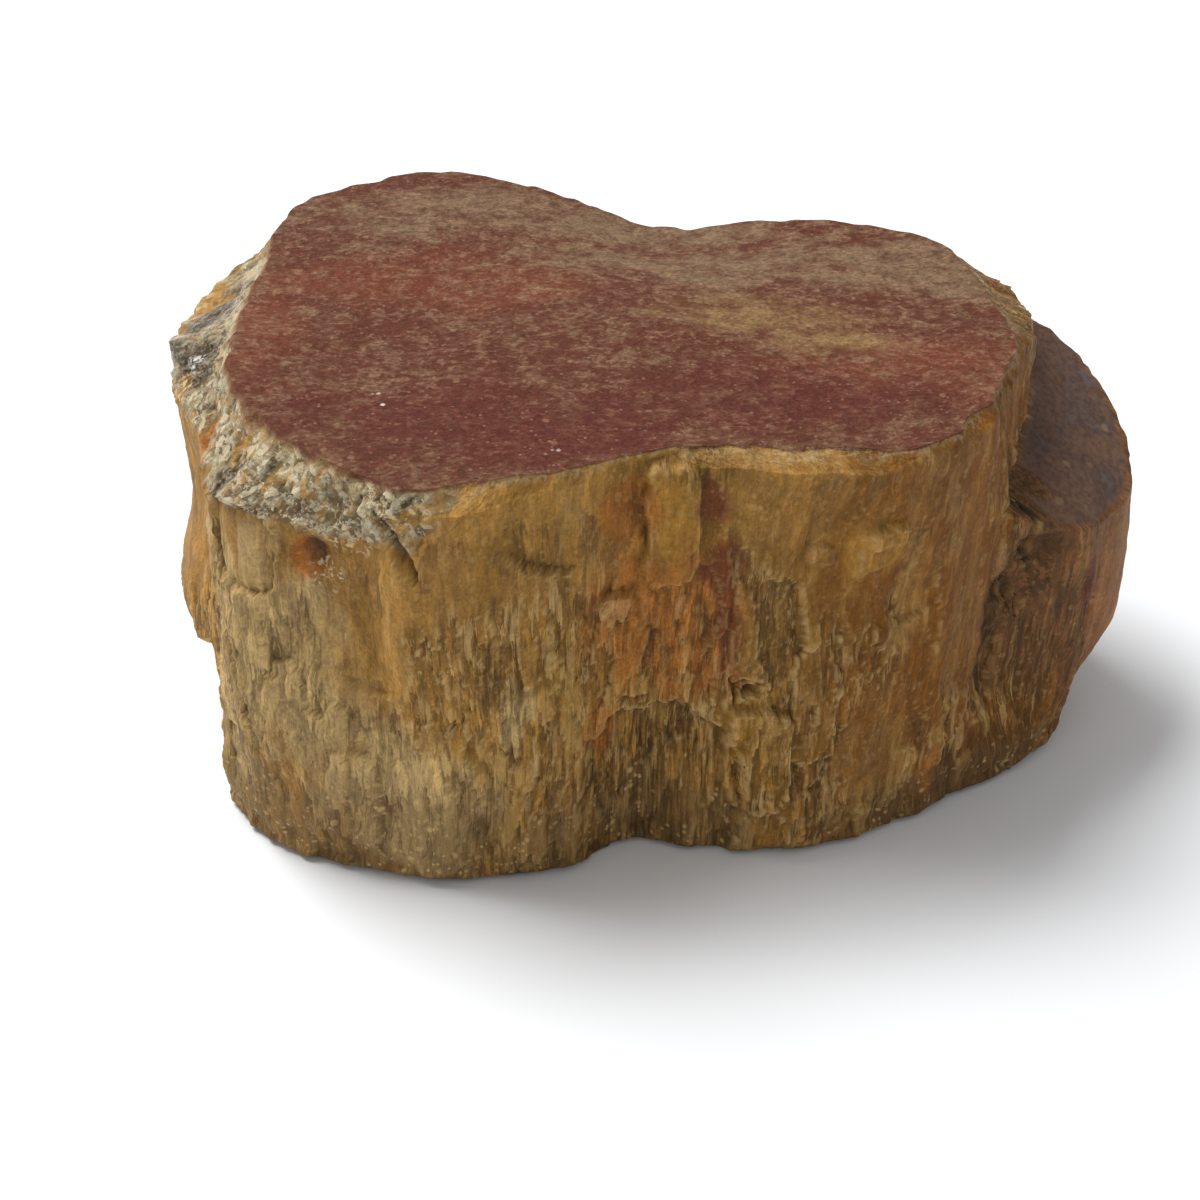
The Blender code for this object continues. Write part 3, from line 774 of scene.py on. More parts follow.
def side_skin(angle):
    """The side and the bevel as rows of points, with the values that the colours need."""
    rim_x, rim_y = to_xy(angle, around(RIM, angle))
    rim = around(RIM, angle) + layered(rim_x, rim_y, 0 * angle, RIM_RAG, 70)
    rim_x, rim_y = to_xy(angle, rim)
    rim_height = top_height(rim_x, rim_y) + top_relief(rim_x, rim_y)
    bevel = around(BEVEL, angle) * (1 + layered(rim_x, rim_y, 0 * angle, BEVEL_RAG, 72))
    wall = BASE_ROUND + np.linspace(0, 1, WALL_ROWS)[:, None] * (rim_height - bevel - BASE_ROUND)
    worn_edge = BASE_ROUND * np.array(WORN_ROWS)[:, None] + 0 * angle
    over = rim_height - bevel * np.linspace(1, 0, BEVEL_ROWS + 1)[1:, None]
    height = np.vstack([worn_edge, wall, over])
    angle = np.broadcast_to(angle, height.shape)
    inward = np.clip((height - rim_height) / bevel + 1, 0, 1)
    scooped = inward + BEVEL_HOLLOW * inward * (1 - inward)
    smooth, on_face, near_face = wall_radius(angle, height)
    inset = (smooth - rim) * scooped
    smooth = smooth - inset
    x, y = to_xy(angle, smooth)
    below = ramp(*CHIP_HEIGHT, height + layered(x, y, height, CHIP_RAG, 73))
    chipped = around(CHIPPING, angle) * np.maximum(ramp(0, CHIP_START, inward), CHIPS_BELOW * below)
    detail, frayed_angle, frayed_height, values = fine_relief(x, y, height, angle, chipped, near_face)
    held = ramp(-BASE_ROUND, 2 * BASE_ROUND, height)
    relief = held * (1 - BEVEL_SMOOTHS * inward) * main_relief(x, y, frayed_height, frayed_angle)
    relief = relief + held * (1 - inward**4) * detail
    points = np.stack([*to_xy(angle, smooth + relief), height], axis=2)
    drum = GIRTH / (2 * math.pi)
    around_drum = values.pop("turn") / drum
    grain_radius = drum + GRAIN_DEPTH * relief - inset
    values["grain_x"] = grain_radius * np.cos(around_drum)
    values["grain_y"] = grain_radius * np.sin(around_drum)
    values.update(relief=relief, chipped=chipped, lobe_face=on_face, inward=inward)
    return points, values


def flat_rings(angle, edge_radius, count, height_of):
    """Rings of a flat face, from its middle out: shares of the edge's radius, at the height of each place."""
    share = (np.arange(count + 1) / (count + 1))[:, None]
    x, y = to_xy(angle, share * edge_radius)
    return np.stack([x, y, height_of(x, y)], axis=2)


def stone_points():
    """All rows of the stone from the middle of the base to the middle of the top, with their values."""
    angle = column_angles()
    side, values = side_skin(angle)
    foot = np.hypot(side[0, :, 0] - AXIS[0], side[0, :, 1] - AXIS[1])
    rim = np.hypot(side[-1, :, 0] - AXIS[0], side[-1, :, 1] - AXIS[1])
    base = flat_rings(angle, foot, BASE_RINGS, lambda x, y: 0 * x)
    top = flat_rings(angle, rim, TOP_RINGS, lambda x, y: top_height(x, y) + top_relief(x, y))[::-1]
    points = np.concatenate([base, side, top])
    below, above = len(base), len(top)
    pad = [(below, above), (0, 0)]
    values = {name: np.pad(value, pad) for name, value in values.items()}
    values["inward"][below + len(side):] = 1
    on_base = np.arange(len(points))[:, None] < below
    on_top = np.arange(len(points))[:, None] >= below + len(side)
    values["angle"] = np.broadcast_to(angle, points.shape[:2])
    values["grain_x"] = np.where(on_base | on_top, points[:, :, 0], values["grain_x"])
    values["grain_y"] = np.where(on_base | on_top, points[:, :, 1], values["grain_y"])
    values["on_top"] = on_top + 0 * values["angle"]
    return points, values


def blurred(rows, reach):
    """The running mean over a square of cells; columns wrap round, rows stop at the ends."""
    for axis, mode in ((0, "edge"), (1, "wrap")):
        pad = [(reach + 1, reach) if i == axis else (0, 0) for i in range(2)]
        total = np.cumsum(np.pad(rows, pad, mode=mode), axis=axis)
        size = 2 * reach + 1
        if axis == 0:
            rows = (total[size:] - total[:-size]) / size
        else:
            rows = (total[:, size:] - total[:, :-size]) / size
    return rows


def wall_patch(points, angle, name):
    """Soft ragged patches on the wall: 1 inside a spot's oval, 0 outside, with noise moving the edge."""
    seed = PATCH_SEEDS[name]
    x, y, z = (points[:, :, i] for i in range(3))
    rag = sum(share * fibre_noise(x, y, z, size, seed + i) for i, (share, size) in enumerate(WALL_PATCH_RAG))
    return spotted(angle, z, WALL_SPOTS[name], rag)


def top_patch(points, name):
    """The same for the top, whose spots are (x, y, half size along X, half size along Y)."""
    seed = PATCH_SEEDS[name]
    x, y = points[:, :, 0], points[:, :, 1]
    rag = 0
    for i, (share, (size_x, size_y)) in enumerate(TOP_PATCH_RAG):
        rag = rag + share * noise(x / size_x, y / size_y, 0 * x, seed + i)
    found = np.zeros(x.shape)
    for middle_x, middle_y, half_x, half_y in TOP_SPOTS[name]:
        distance = np.hypot((x - middle_x) / half_x, (y - middle_y) / half_y)
        found = np.maximum(found, 1 - ramp(*TOP_SPOT_EDGE, distance + rag))
    return found


def colour_masks(points, values):
    """The attributes that the stone's materials mix their colours by, each from 0 to 1."""
    x, y, z = (points[:, :, i] for i in range(3))
    angle = values["angle"]
    rag = layered(x, y, z, MASK_RAG, 80)
    top = np.maximum(values["on_top"], ramp(*TOP_EDGE, values["inward"] + 0.10 * rag))
    relief = values["relief"]
    turned = (np.degrees(angle) + 180) % 360 - 180
    masks = {name: wall_patch(points, angle, name) for name in WALL_SPOTS}
    masks.update({name: values[name] for name in ("crevice", "slats", "shade", "calm")})
    for name in ("plum", "taupe", "ochre", "scarlet"):
        masks[name] = top_patch(points, name) * top
    scattered = ramp(*RUST_EDGE, fibre_noise(x, y, z, RUST_SIZE, 82)) * ramp(*RUST_BACK, np.sin(angle))
    # A painted contact shadow along the foot, and the dirt low down
    foot_line, foot_dirt = (1 - ramp(low, high, z + reach * rag) for low, high, reach in FOOT_SHADES)
    rim_line = around(RIM_PALENESS, angle) * ramp(*RIM_EDGE, values["inward"] + 0.45 * rag)
    masks.update({
        "top": top,
        "chipped": ramp(*CHIP_EDGE, values["chipped"] + 0.25 * rag) * (1 - top),
        "lobe_face": values["lobe_face"] * (1 - values["crevice"]),
        # Pale edges: partly wear, partly painted highlights where edges catch the light
        "edge": ramp(*EDGE_RELIEF, relief - blurred(relief, 1)),
        # Painted shade in hollows, from how far the relief lies below its mean round about
        "cavity": ramp(*CAVITY_RELIEF, blurred(relief, 5) - relief),
        "proud": np.clip(0.5 + values["proud"] / PROUD_RANGE, 0, 1),
        "rust": np.maximum(masks["rust"], 0.8 * scattered),
        # The right end, tinted darker and browner: partly painted shade on the side away from the key light
        "brown": ramp(*BROWN_FROM, turned) * ramp(*BROWN_TO, turned),
        # Painted shade: the dark patches, and the contact shadow along the foot
        "dark": np.maximum(masks["dark"], 0.75 * foot_line),
        # White flecks on the wall, and the top's painted glints
        "frost": masks["frost"] * (1 - top) + top_patch(points, "glint") * top,
        "rim_line": rim_line * (1 - 0.9 * top) * (1 - values["on_top"]),
        "dirt": np.maximum(masks["dirt"], foot_dirt),
    })
    return masks


def by_vertex(rows):
    """A value for each point of the grid, in the order of the mesh's vertices."""
    return np.append(rows[1:-1].ravel(), [rows[0, 0], rows[-1, 0]])


def grid_mesh(name, points, masks, grain):
    """One closed mesh from rows of points: a point for each pole, then quads between rows that wrap round."""
    rows, columns = points.shape[0] - 2, points.shape[1]
    corner = np.arange(rows * columns).reshape(rows, columns)
    right = np.roll(corner, -1, axis=1)
    quads = np.stack([corner[:-1], right[:-1], right[1:], corner[1:]], axis=2).reshape(-1, 4)
    low_pole, high_pole = rows * columns, rows * columns + 1
    low = np.stack([right[0], corner[0], np.full(columns, low_pole)], axis=1)
    high = np.stack([corner[-1], right[-1], np.full(columns, high_pole)], axis=1)
    place = [*points[1:-1].reshape(-1, 3).tolist(), points[0, 0].tolist(), points[-1, 0].tolist()]
    mesh = bpy.data.meshes.new(name)
    mesh.from_pydata(place, [], quads.tolist() + low.tolist() + high.tolist())
    for label, mask in masks.items():
        layer = mesh.attributes.new(label, "FLOAT", "POINT")
        layer.data.foreach_set("value", by_vertex(mask).astype(np.float32))
    layer = mesh.attributes.new("grain", "FLOAT_VECTOR", "POINT")
    grain = np.concatenate([grain[1:-1].reshape(-1, 3), grain[:1, 0], grain[-1:, 0]])
    layer.data.foreach_set("vector", grain.astype(np.float32).ravel())
    mesh.shade_smooth()
    mesh.set_sharp_from_angle(angle=math.radians(SHARP_EDGE))
    return mesh


# ---------------------------------------------------------------- shader nodes
def add(tree, kind, inputs=None, **settings):
    """A node with its settings and inputs. An input that is a socket is linked; another is its value."""
    node = tree.nodes.new(kind)
    for name, value in settings.items():
        setattr(node, name, value)
    for name, value in (inputs or {}).items():
        if isinstance(value, bpy.types.NodeSocket):
            tree.links.new(value, node.inputs[name])
        else:
            node.inputs[name].default_value = value
    return node


def use(tree, group, **inputs):
    """The outputs of a group placed in a tree, with its inputs by name."""
    return add(tree, "ShaderNodeGroup", inputs, node_tree=group).outputs


def calc(tree, operation, *values, clamp=False):
    """The result of a Math node on sockets or numbers."""
    node = add(tree, "ShaderNodeMath", dict(enumerate(values)), operation=operation, use_clamp=clamp)
    return node.outputs[0]


def times(tree, *factors):
    """The product of sockets or numbers."""
    total = factors[0]
    for factor in factors[1:]:
        total = calc(tree, "MULTIPLY", total, factor)
    return total


def plus(tree, *terms, clamp=False):
    """The sum of sockets or numbers."""
    total = terms[0]
    for term in terms[1:]:
        total = calc(tree, "ADD", total, term, clamp=clamp)
    return total


def less(tree, value, taken):
    """A value less another."""
    return calc(tree, "SUBTRACT", value, taken)


def most(tree, *values):
    """The largest of some sockets."""
    total = values[0]
    for value in values[1:]:
        total = calc(tree, "MAXIMUM", total, value)
    return total


def step(tree, value, low, high, to_low=0.0, to_high=1.0):
    """The value mapped by an S-curve, from to_low at low to to_high at high."""
    ends = {"Value": value, "From Min": low, "From Max": high, "To Min": to_low, "To Max": to_high}
    return add(tree, "ShaderNodeMapRange", ends, interpolation_type="SMOOTHSTEP").outputs[0]


def paint(tree, factor, below, above):
    """Colour `above` over colour `below` by a factor."""
    below, above = (c if isinstance(c, bpy.types.NodeSocket) else (*c, 1.0) for c in (below, above))
    return add(tree, "ShaderNodeMix", {0: factor, 6: below, 7: above}, data_type="RGBA").outputs[2]


def xyz(tree, x=0.0, y=0.0, z=0.0):
    """A vector from three sockets or numbers."""
    return add(tree, "ShaderNodeCombineXYZ", {0: x, 1: y, 2: z}).outputs[0]


def vector_calc(tree, operation, vector, other):
    """The result of a Vector Math node on two vectors."""
    return add(tree, "ShaderNodeVectorMath", {0: vector, 1: other}, operation=operation).outputs[0]


def scaled(tree, vector, amount):
    """A vector or a colour times a number."""
    return add(tree, "ShaderNodeVectorMath", {0: vector, "Scale": amount}, operation="SCALE").outputs[0]


def attribute(tree, name, output="Fac"):
    """One of the mesh's attributes."""
    return add(tree, "ShaderNodeAttribute", attribute_name=name).outputs[output]


def new_group(name, vector, numbers, outputs):
    """An empty node group: a vector in, numbers in with their defaults, and outputs with their kinds."""
    tree = bpy.data.node_groups.new(name, "ShaderNodeTree")
    tree.interface.new_socket(vector, in_out="INPUT", socket_type="NodeSocketVector")
    for label, value in numbers.items():
        socket = tree.interface.new_socket(label, in_out="INPUT", socket_type="NodeSocketFloat")
        socket.default_value = value
    for label, kind in outputs.items():
        tree.interface.new_socket(label, in_out="OUTPUT", socket_type="NodeSocket" + kind)
    return tree, add(tree, "NodeGroupInput").outputs, add(tree, "NodeGroupOutput").inputs


def finish_group(name, vector, masks=()):
    """An empty node group for one of the stone's finishes, with a colour and a height out."""
    numbers = {mask.capitalize(): 0.0 for mask in masks}
    return new_group(name, vector, numbers, {"Color": "Color", "Height": "Float"})


def streak_group():
    """Noise drawn out along Z. Across and Along are its feature sizes in metres; Shift picks a pattern."""
    numbers = {"Across": 0.001, "Along": 0.005, "Shift": 0.0}
    tree, given, out = new_group("fibre_streaks", "Vector", numbers, {"Value": "Float"})
    size = xyz(tree, given["Across"], given["Across"], given["Along"])
    shift = xyz(tree, given["Shift"], given["Shift"], given["Shift"])
    place = vector_calc(tree, "ADD", vector_calc(tree, "DIVIDE", given["Vector"], size), shift)
    found = add(tree, "ShaderNodeTexNoise", {"Vector": place, "Scale": 1.0, "Detail": 3.0, "Roughness": 0.58})
    tree.links.new(found.outputs[0], out["Value"])
    return tree


def streaked(tree, streaks, vector, across, along, shift):
    """The streaked noise at a vector, from 0 to 1."""
    return use(tree, streaks, Vector=vector, Across=across, Along=along, Shift=shift)["Value"]


def crack_group(streaks):
    """Thin lines drawn out along Z: where streaked noise passes its middle value.

    Width is in the noise's own units.
    """
    numbers = {"Across": 0.001, "Along": 0.005, "Width": 0.04, "Shift": 0.0}
    tree, given, out = new_group("fibre_cracks", "Vector", numbers, {"Mask": "Float"})
    level = streaked(tree, streaks, given["Vector"], given["Across"], given["Along"], given["Shift"])
    away = calc(tree, "ABSOLUTE", less(tree, level, 0.5))
    tree.links.new(step(tree, away, 0.0, given["Width"], 1.0, 0.0), out["Mask"])
    return tree


def cracked(tree, cracks, vector, across, along, width, shift):
    """The mask of the thin lines at a vector."""
    return use(tree, cracks, Vector=vector, Across=across, Along=along, Width=width, Shift=shift)["Mask"]


def speck_group():
    """Scattered grains: round spots in some cells of a Voronoi pattern. Amount is the share with one."""
    numbers = {"Size": 0.0003, "Amount": 0.1, "Shift": 0.0}
    tree, given, out = new_group("scattered_grains", "Vector", numbers, {"Mask": "Float"})
    shift = xyz(tree, given["Shift"], given["Shift"], given["Shift"])
    frequency = calc(tree, "DIVIDE", 1.0, given["Size"])
    place = vector_calc(tree, "ADD", scaled(tree, given["Vector"], frequency), shift)
    cells = add(tree, "ShaderNodeTexVoronoi", {"Vector": place, "Scale": 1.0})
    kind = add(tree, "ShaderNodeSeparateColor", {0: cells.outputs["Color"]}).outputs[0]
    near = step(tree, cells.outputs["Distance"], 0.25, 0.5, 1.0, 0.0)
    tree.links.new(times(tree, near, calc(tree, "LESS_THAN", kind, given["Amount"])), out["Mask"])
    return tree


def specked(tree, specks, vector, size, amount, shift):
    """The mask of the scattered grains at a vector."""
    return use(tree, specks, Vector=vector, Size=size, Amount=amount, Shift=shift)["Mask"]


def split_plate_group():
    """Small flat plates drawn out along Z, each the cell of a hashed middle, nearest by its larger distance.

    Level and Shade are each plate's own values from 0 to 1, and Away is 0 at its middle. Fray, in plates'
    lengths, moves the ends.
    """
    numbers = {"Across": 0.0003, "Along": 0.0015, "Fray": 0.0}
    outputs = {"Level": "Float", "Shade": "Float", "Away": "Float"}
    tree, given, out = new_group("split_plates", "Vector", numbers, outputs)
    size = xyz(tree, given["Across"], given["Across"], given["Along"])
    place = vector_calc(tree, "DIVIDE", given["Vector"], size)
    place = vector_calc(tree, "ADD", place, xyz(tree, z=given["Fray"]))
    inputs = {"Vector": place, "Scale": 1.0, "Randomness": 0.9}
    cells = add(tree, "ShaderNodeTexVoronoi", inputs, distance="CHEBYCHEV")
    value = add(tree, "ShaderNodeSeparateColor", {0: cells.outputs["Color"]})
    tree.links.new(value.outputs[0], out["Level"])
    tree.links.new(value.outputs[1], out["Shade"])
    tree.links.new(cells.outputs["Distance"], out["Away"])
    return tree


def broken_fibre_group(streaks, cracks, specks):
    """The colour and height of the upright broken sides.

    Proud plates are smooth honey, going to olive in wide streaks, and sunken ones are dun and show their
    fibres. Stains lie over both. Each small plate has its own tone, and a few are cream or umber. Then gaps
    and cracks are umber, cavities get painted shade in umber, slats are straw, worn edges and thin lines are
    cream, partly wear and pale fibres and partly painted highlights, and pale grains lie in the dirt low
    down.
    Hollows, the wall under the rim and the wall low down get more painted shade, and crevices, pits, the slit
    and a line along the foot a dark painted shade.
    """
    tree, given, out = finish_group("broken_fibres", "Grain", WALL_MASKS)
    grain = given["Grain"]

    def streak(across, along, shift):
        return streaked(tree, streaks, grain, across, along, shift)

    wide, middle, narrow, mottle, sand = (streak(*sizes) for sizes in WALL_STREAKS.values())
    fray = step(tree, narrow, 0.30, 0.70, -0.35, 0.35)
    across, along = SPLIT_PLATE
    plate = use(tree, split_plate_group(), Vector=grain, Across=across, Along=along, Fray=fray)
    rough = step(tree, plus(tree, given["Proud"], given["Calm"]), 0.3, 1.3, 1.0, 0.25)
    stained = most(tree, given["Rust"], given["Wine"], given["Orange"])
    clean = step(tree, stained, 0.0, 1.0, 1.0, 0.5)
    clean = times(tree, clean, step(tree, given["Dusk"], 0.0, 1.0, 1.0, 0.25))

    olive = plus(tree, step(tree, wide, 0.44, 0.66), times(tree, given["Olive"], 0.8), clamp=True)
    upper = paint(tree, olive, HONEY, OLIVE)
    for mask, strength, tint in WALL_TINTS:
        upper = paint(tree, times(tree, given[mask], strength), upper, tint)
    upper = paint(tree, step(tree, middle, 0.50, 0.72, 0.0, 0.25), upper, STRAW)
    colour = paint(tree, step(tree, given["Proud"], 0.05, 0.60, 0.25, 1.0), DUN, upper)
    colour = paint(tree, times(tree, given["Pale"], rough, 0.60), colour, SAND)
    for mask, strength, tint in WALL_STAINS:
        colour = paint(tree, times(tree, given[mask], strength), colour, tint)

    tone = step(tree, narrow, 0.30, 0.70, -0.22, 0.22)
    tone = plus(tree, tone, step(tree, plate["Level"], 0.0, 1.0, -0.16, 0.16))
    tone = plus(tree, 1.0, times(tree, rough, tone))
    tone = times(
        tree, tone,
        step(tree, middle, 0.30, 0.70, 0.92, 1.08), step(tree, given["Shade"], 0.1, 0.9, 0.86, 1.14),
    )
    tone = times(
        tree, tone, step(tree, mottle, 0.30, 0.70, 0.86, 1.12), step(tree, sand, 0.30, 0.70, 0.84, 1.16),
    )
    colour = scaled(tree, colour, tone)

    gap = times(tree, step(tree, plate["Away"], 0.36, 0.60), rough)
    sunken = times(tree, step(tree, plate["Shade"], 0.20, 0.16), rough)
    split = cracked(tree, cracks, grain, 0.0005, 0.0030, 0.030, 2.0)
    split = times(tree, split, rough, step(tree, mottle, 0.40, 0.55))
    # Gaps, dark plates and cracks are umber, and hollows get painted shade in umber
    for mask, strength in ((gap, 0.40), (sunken, 0.50), (split, 0.45), (given["Cavity"], 0.55)):
        colour = paint(tree, times(tree, mask, strength), colour, UMBER)
    clusters = step(tree, wide, 0.62, 0.40)
    cream = times(tree, step(tree, plate["Shade"], 0.80, 0.83), clusters, rough, clean)
    colour = paint(tree, times(tree, cream, step(tree, narrow, 0.35, 0.60, 0.15, 0.70)), colour, CREAM)
    slats = times(tree, given["Slats"], step(tree, mottle, 0.30, 0.60, 0.20, 0.60), clean)
    colour = paint(tree, slats, colour, STRAW)
    # Edges painted cream: partly wear, partly painted highlights
    edge = times(tree, given["Edge"], step(tree, mottle, 0.30, 0.60, 0.20, 0.70))
    edge = times(tree, edge, plus(tree, 0.3, rough, clamp=True), clean)
    colour = paint(tree, edge, colour, CREAM)

    # Thin cream lines along the fibres: partly pale fibres, partly painted highlights
    lines = cracked(tree, cracks, grain, 0.0008, 0.0050, 0.022, 6.0)
    lines = times(tree, lines, rough, clean, step(tree, mottle, 0.42, 0.56))
    colour = paint(tree, times(tree, lines, 0.55), colour, CREAM)
    colour = paint(tree, times(tree, given["Dirt"], 0.50), colour, EARTH)
    # Painted shade in hollows, under the rim and low down
    dim = times(tree, given["Dim"], step(tree, narrow, 0.30, 0.62, 0.75, 0.0))
    colour = paint(tree, dim, colour, UMBER)
    fine_grains = specked(tree, specks, grain, 0.00026, 0.22, 31.0)
    coarse_grains = specked(tree, specks, grain, 0.00046, 0.16, 35.0)
    sown = step(tree, streak(0.0012, 0.0016, 27.0), 0.35, 0.60)
    sown = times(tree, sown, plus(tree, 0.25, given["Dirt"], clamp=True))
    grains = times(tree, most(tree, fine_grains, coarse_grains), sown)
    colour = paint(tree, times(tree, grains, 0.75), colour, CREAM)
    # Painted shade in crevices, pits and the slit, and a painted contact shadow at the foot
    dark = times(tree, given["Dark"], step(tree, mottle, 0.35, 0.60, 0.90, 0.45))
    tree.links.new(paint(tree, dark, colour, SHADE), out["Color"])

    height = plus(tree, plate["Level"], times(tree, narrow, 1.2), times(tree, mottle, 0.6))
    height = less(tree, height, times(tree, gap, 0.6))
    tree.links.new(plus(tree, times(tree, height, rough), sand), out["Height"])
    return tree


def weathered_top_group(streaks, specks, cracks):
    """The colour and height of the matt top.

    It is maroon, stained in patches, with fine sugary grains, pale scratches and a few painted glints.
    """
    tree, given, out = finish_group("weathered_top", "Vector", TOP_MASKS)
    vector = given["Vector"]
    lying = {"Vector": vector, "Rotation": (0, math.radians(90), 0.12)}
    turned = add(tree, "ShaderNodeMapping", lying).outputs[0]

    def streak(across, along, shift):
        return streaked(tree, streaks, turned, across, along, shift)

    cloud, mottle, fleck, grain = (streak(*sizes) for sizes in TOP_STREAKS.values())
    scratches = step(tree, streak(0.00028, 0.00042, 8.0), 0.52, 0.62)
    colour = paint(tree, given["Scarlet"], MAROON, SCARLET)
    colour = paint(tree, given["Plum"], colour, DAMSON)
    unsmooth = less(tree, 1.0, times(tree, given["Plum"], 0.75))
    taupe = plus(
        tree, times(tree, given["Taupe"], 0.50), step(tree, cloud, 0.35, 0.70, -0.05, 0.22),
        step(tree, mottle, 0.25, 0.75, -0.20, 0.26), step(tree, fleck, 0.25, 0.75, -0.14, 0.20),
    )
    taupe = times(tree, step(tree, taupe, -0.05, 0.85), unsmooth)
    colour = paint(tree, times(tree, taupe, 0.80), colour, TAUPE)
    ochre = times(tree, given["Ochre"], step(tree, mottle, 0.30, 0.60, 0.4, 1.0))
    colour = paint(tree, times(tree, ochre, 0.75), colour, OCHRE)
    dusty = plus(tree, 0.25, times(tree, unsmooth, 0.75))
    dusty = times(tree, dusty, step(tree, mottle, 0.30, 0.60, 0.10, 0.40))
    colour = paint(tree, times(tree, scratches, dusty), colour, PINK)
    tone = times(
        tree, step(tree, grain, 0.28, 0.72, 0.76, 1.24), step(tree, fleck, 0.25, 0.75, 0.88, 1.12),
        step(tree, mottle, 0.25, 0.75, 0.90, 1.08),
    )
    colour = scaled(tree, colour, tone)
    small = specked(tree, specks, vector, 0.00022, 0.06, 1.0)
    large = specked(tree, specks, vector, 0.00044, 0.02, 9.0)
    lines = cracked(tree, cracks, turned, 0.0005, 0.0012, 0.026, 4.5)
    lines = times(tree, lines, step(tree, mottle, 0.50, 0.64), unsmooth)
    colour = paint(tree, times(tree, most(tree, small, large, lines), 0.50), colour, PINK)
    dark = specked(tree, specks, vector, 0.00034, 0.18, 14.0)
    colour = paint(tree, times(tree, dark, 0.40), colour, UMBER)
    # Painted glints, where the mask lets them show
    glints = specked(tree, specks, vector, 0.00030, 0.10, 17.0)
    tree.links.new(paint(tree, times(tree, glints, given["Frost"]), colour, GLINT), out["Color"])
    height = plus(tree, times(tree, grain, 0.9), times(tree, fleck, 1.2), mottle)
    tree.links.new(height, out["Height"])
    return tree


def flaky_quartz_group(streaks, cracks):
    """The colour and height of the chipped edge.

    It has grey, honey and smoky grains, with bright facets and white broken edges between, partly white
    quartz and partly painted highlights.
    """
    tree, given, out = finish_group("flaky_quartz", "Vector", QUARTZ_MASKS)
    vector = given["Vector"]
    inputs = {"Vector": vector, "Scale": QUARTZ_GRAINS, "Randomness": 1.0}
    cells = add(tree, "ShaderNodeTexVoronoi", inputs)
    value = add(tree, "ShaderNodeSeparateColor", {0: cells.outputs["Color"]})
    face, kind = value.outputs[0], value.outputs[1]

    def cloud(size, shift):
        return streaked(tree, streaks, vector, size, size, shift)

    fleck = cloud(0.00026, 8.0)
    colour = paint(tree, step(tree, cloud(0.0014, 1.0), 0.44, 0.56), GREY, EARTH)
    colour = paint(tree, step(tree, kind, 0.76, 0.80, 0.0, 0.45), colour, STRAW)
    gold = step(tree, cloud(0.0010, 3.0), 0.52, 0.62, 0.0, 0.5)
    colour = paint(tree, most(tree, times(tree, given["Gold"], 0.8), gold), colour, GOLD)
    colour = paint(tree, times(tree, given["Orange"], 0.8), colour, ORANGE)
    colour = paint(tree, step(tree, face, 0.25, 0.32, 0.65, 0.0), colour, SMOKE)
    # A few bright facets: partly white quartz, partly painted highlights
    colour = paint(tree, step(tree, face, 0.84, 0.88, 0.0, 0.55), colour, QUARTZ)
    colour = paint(tree, step(tree, fleck, 0.30, 0.44, 0.5, 0.0), colour, SMOKE)
    # Painted shade in hollows
    colour = paint(tree, times(tree, given["Cavity"], 0.75), colour, SMOKE)
    # White cracks, flecks and edges: partly broken white quartz, partly painted highlights
    lines = cracked(tree, cracks, vector, 0.00060, 0.00060, 0.035, 4.0)
    lines = times(tree, lines, step(tree, cloud(0.0008, 6.0), 0.48, 0.56))
    edge = times(tree, given["Edge"], step(tree, fleck, 0.35, 0.60))
    white = most(tree, lines, step(tree, fleck, 0.60, 0.65), edge)
    white = times(tree, white, less(tree, 1.0, times(tree, given["Gold"], 0.6)))
    colour = paint(tree, times(tree, white, 0.75), colour, QUARTZ)
    smoky = times(tree, given["Smoky"], step(tree, fleck, 0.40, 0.62, 0.92, 0.55))
    colour = paint(tree, smoky, colour, SHADE)
    # A painted glint of silver on the smoky quartz
    silver = times(tree, given["Silver"], step(tree, fleck, 0.42, 0.55))
    tree.links.new(paint(tree, silver, colour, GLINT), out["Color"])
    tree.links.new(plus(tree, times(tree, face, 1.4), times(tree, fleck, 1.2)), out["Height"])
    return tree


def lobe_face_group(streaks, specks):
    """The colour and height of the lobe's dark face: plum, brown clouds, painted grey sheen, few grains."""
    tree, given, out = finish_group("lobe_face", "Vector")
    vector = given["Vector"]
    cloud = streaked(tree, streaks, vector, 0.0022, 0.0022, 2.0)
    fine = streaked(tree, streaks, vector, 0.00035, 0.00035, 5.0)
    colour = paint(tree, step(tree, cloud, 0.42, 0.62), PLUM, BARK)
    # Grey clouds: a painted bluish sheen
    colour = paint(tree, step(tree, cloud, 0.30, 0.46, 0.7, 0.0), colour, SLATE)
    colour = scaled(tree, colour, step(tree, fine, 0.25, 0.75, 0.72, 1.28))
    grains = specked(tree, specks, vector, 0.0007, 0.07, 3.0)
    tree.links.new(paint(tree, times(tree, grains, 0.5), colour, CINNAMON), out["Color"])
    tree.links.new(times(tree, fine, 0.6), out["Height"])
    return tree


# ---------------------------------------------------------------- the stone's materials
def finish_shader(name):
    """A new material, its node tree, its shader and the Object coordinates."""
    material = bpy.data.materials.new(name)
    material.use_nodes = True
    tree = material.node_tree
    shader = tree.nodes["Principled BSDF"]
    shader.inputs["IOR"].default_value = QUARTZ_IOR
    shader.inputs["Specular IOR Level"].default_value = SHINE
    return material, tree, shader, add(tree, "ShaderNodeTexCoord").outputs["Object"]


def with_masks(tree, group, masks, **vector):
    """A finish placed in a tree, with the mesh's masks as its inputs."""
    return use(tree, group, **vector, **{name.capitalize(): attribute(tree, name) for name in masks})


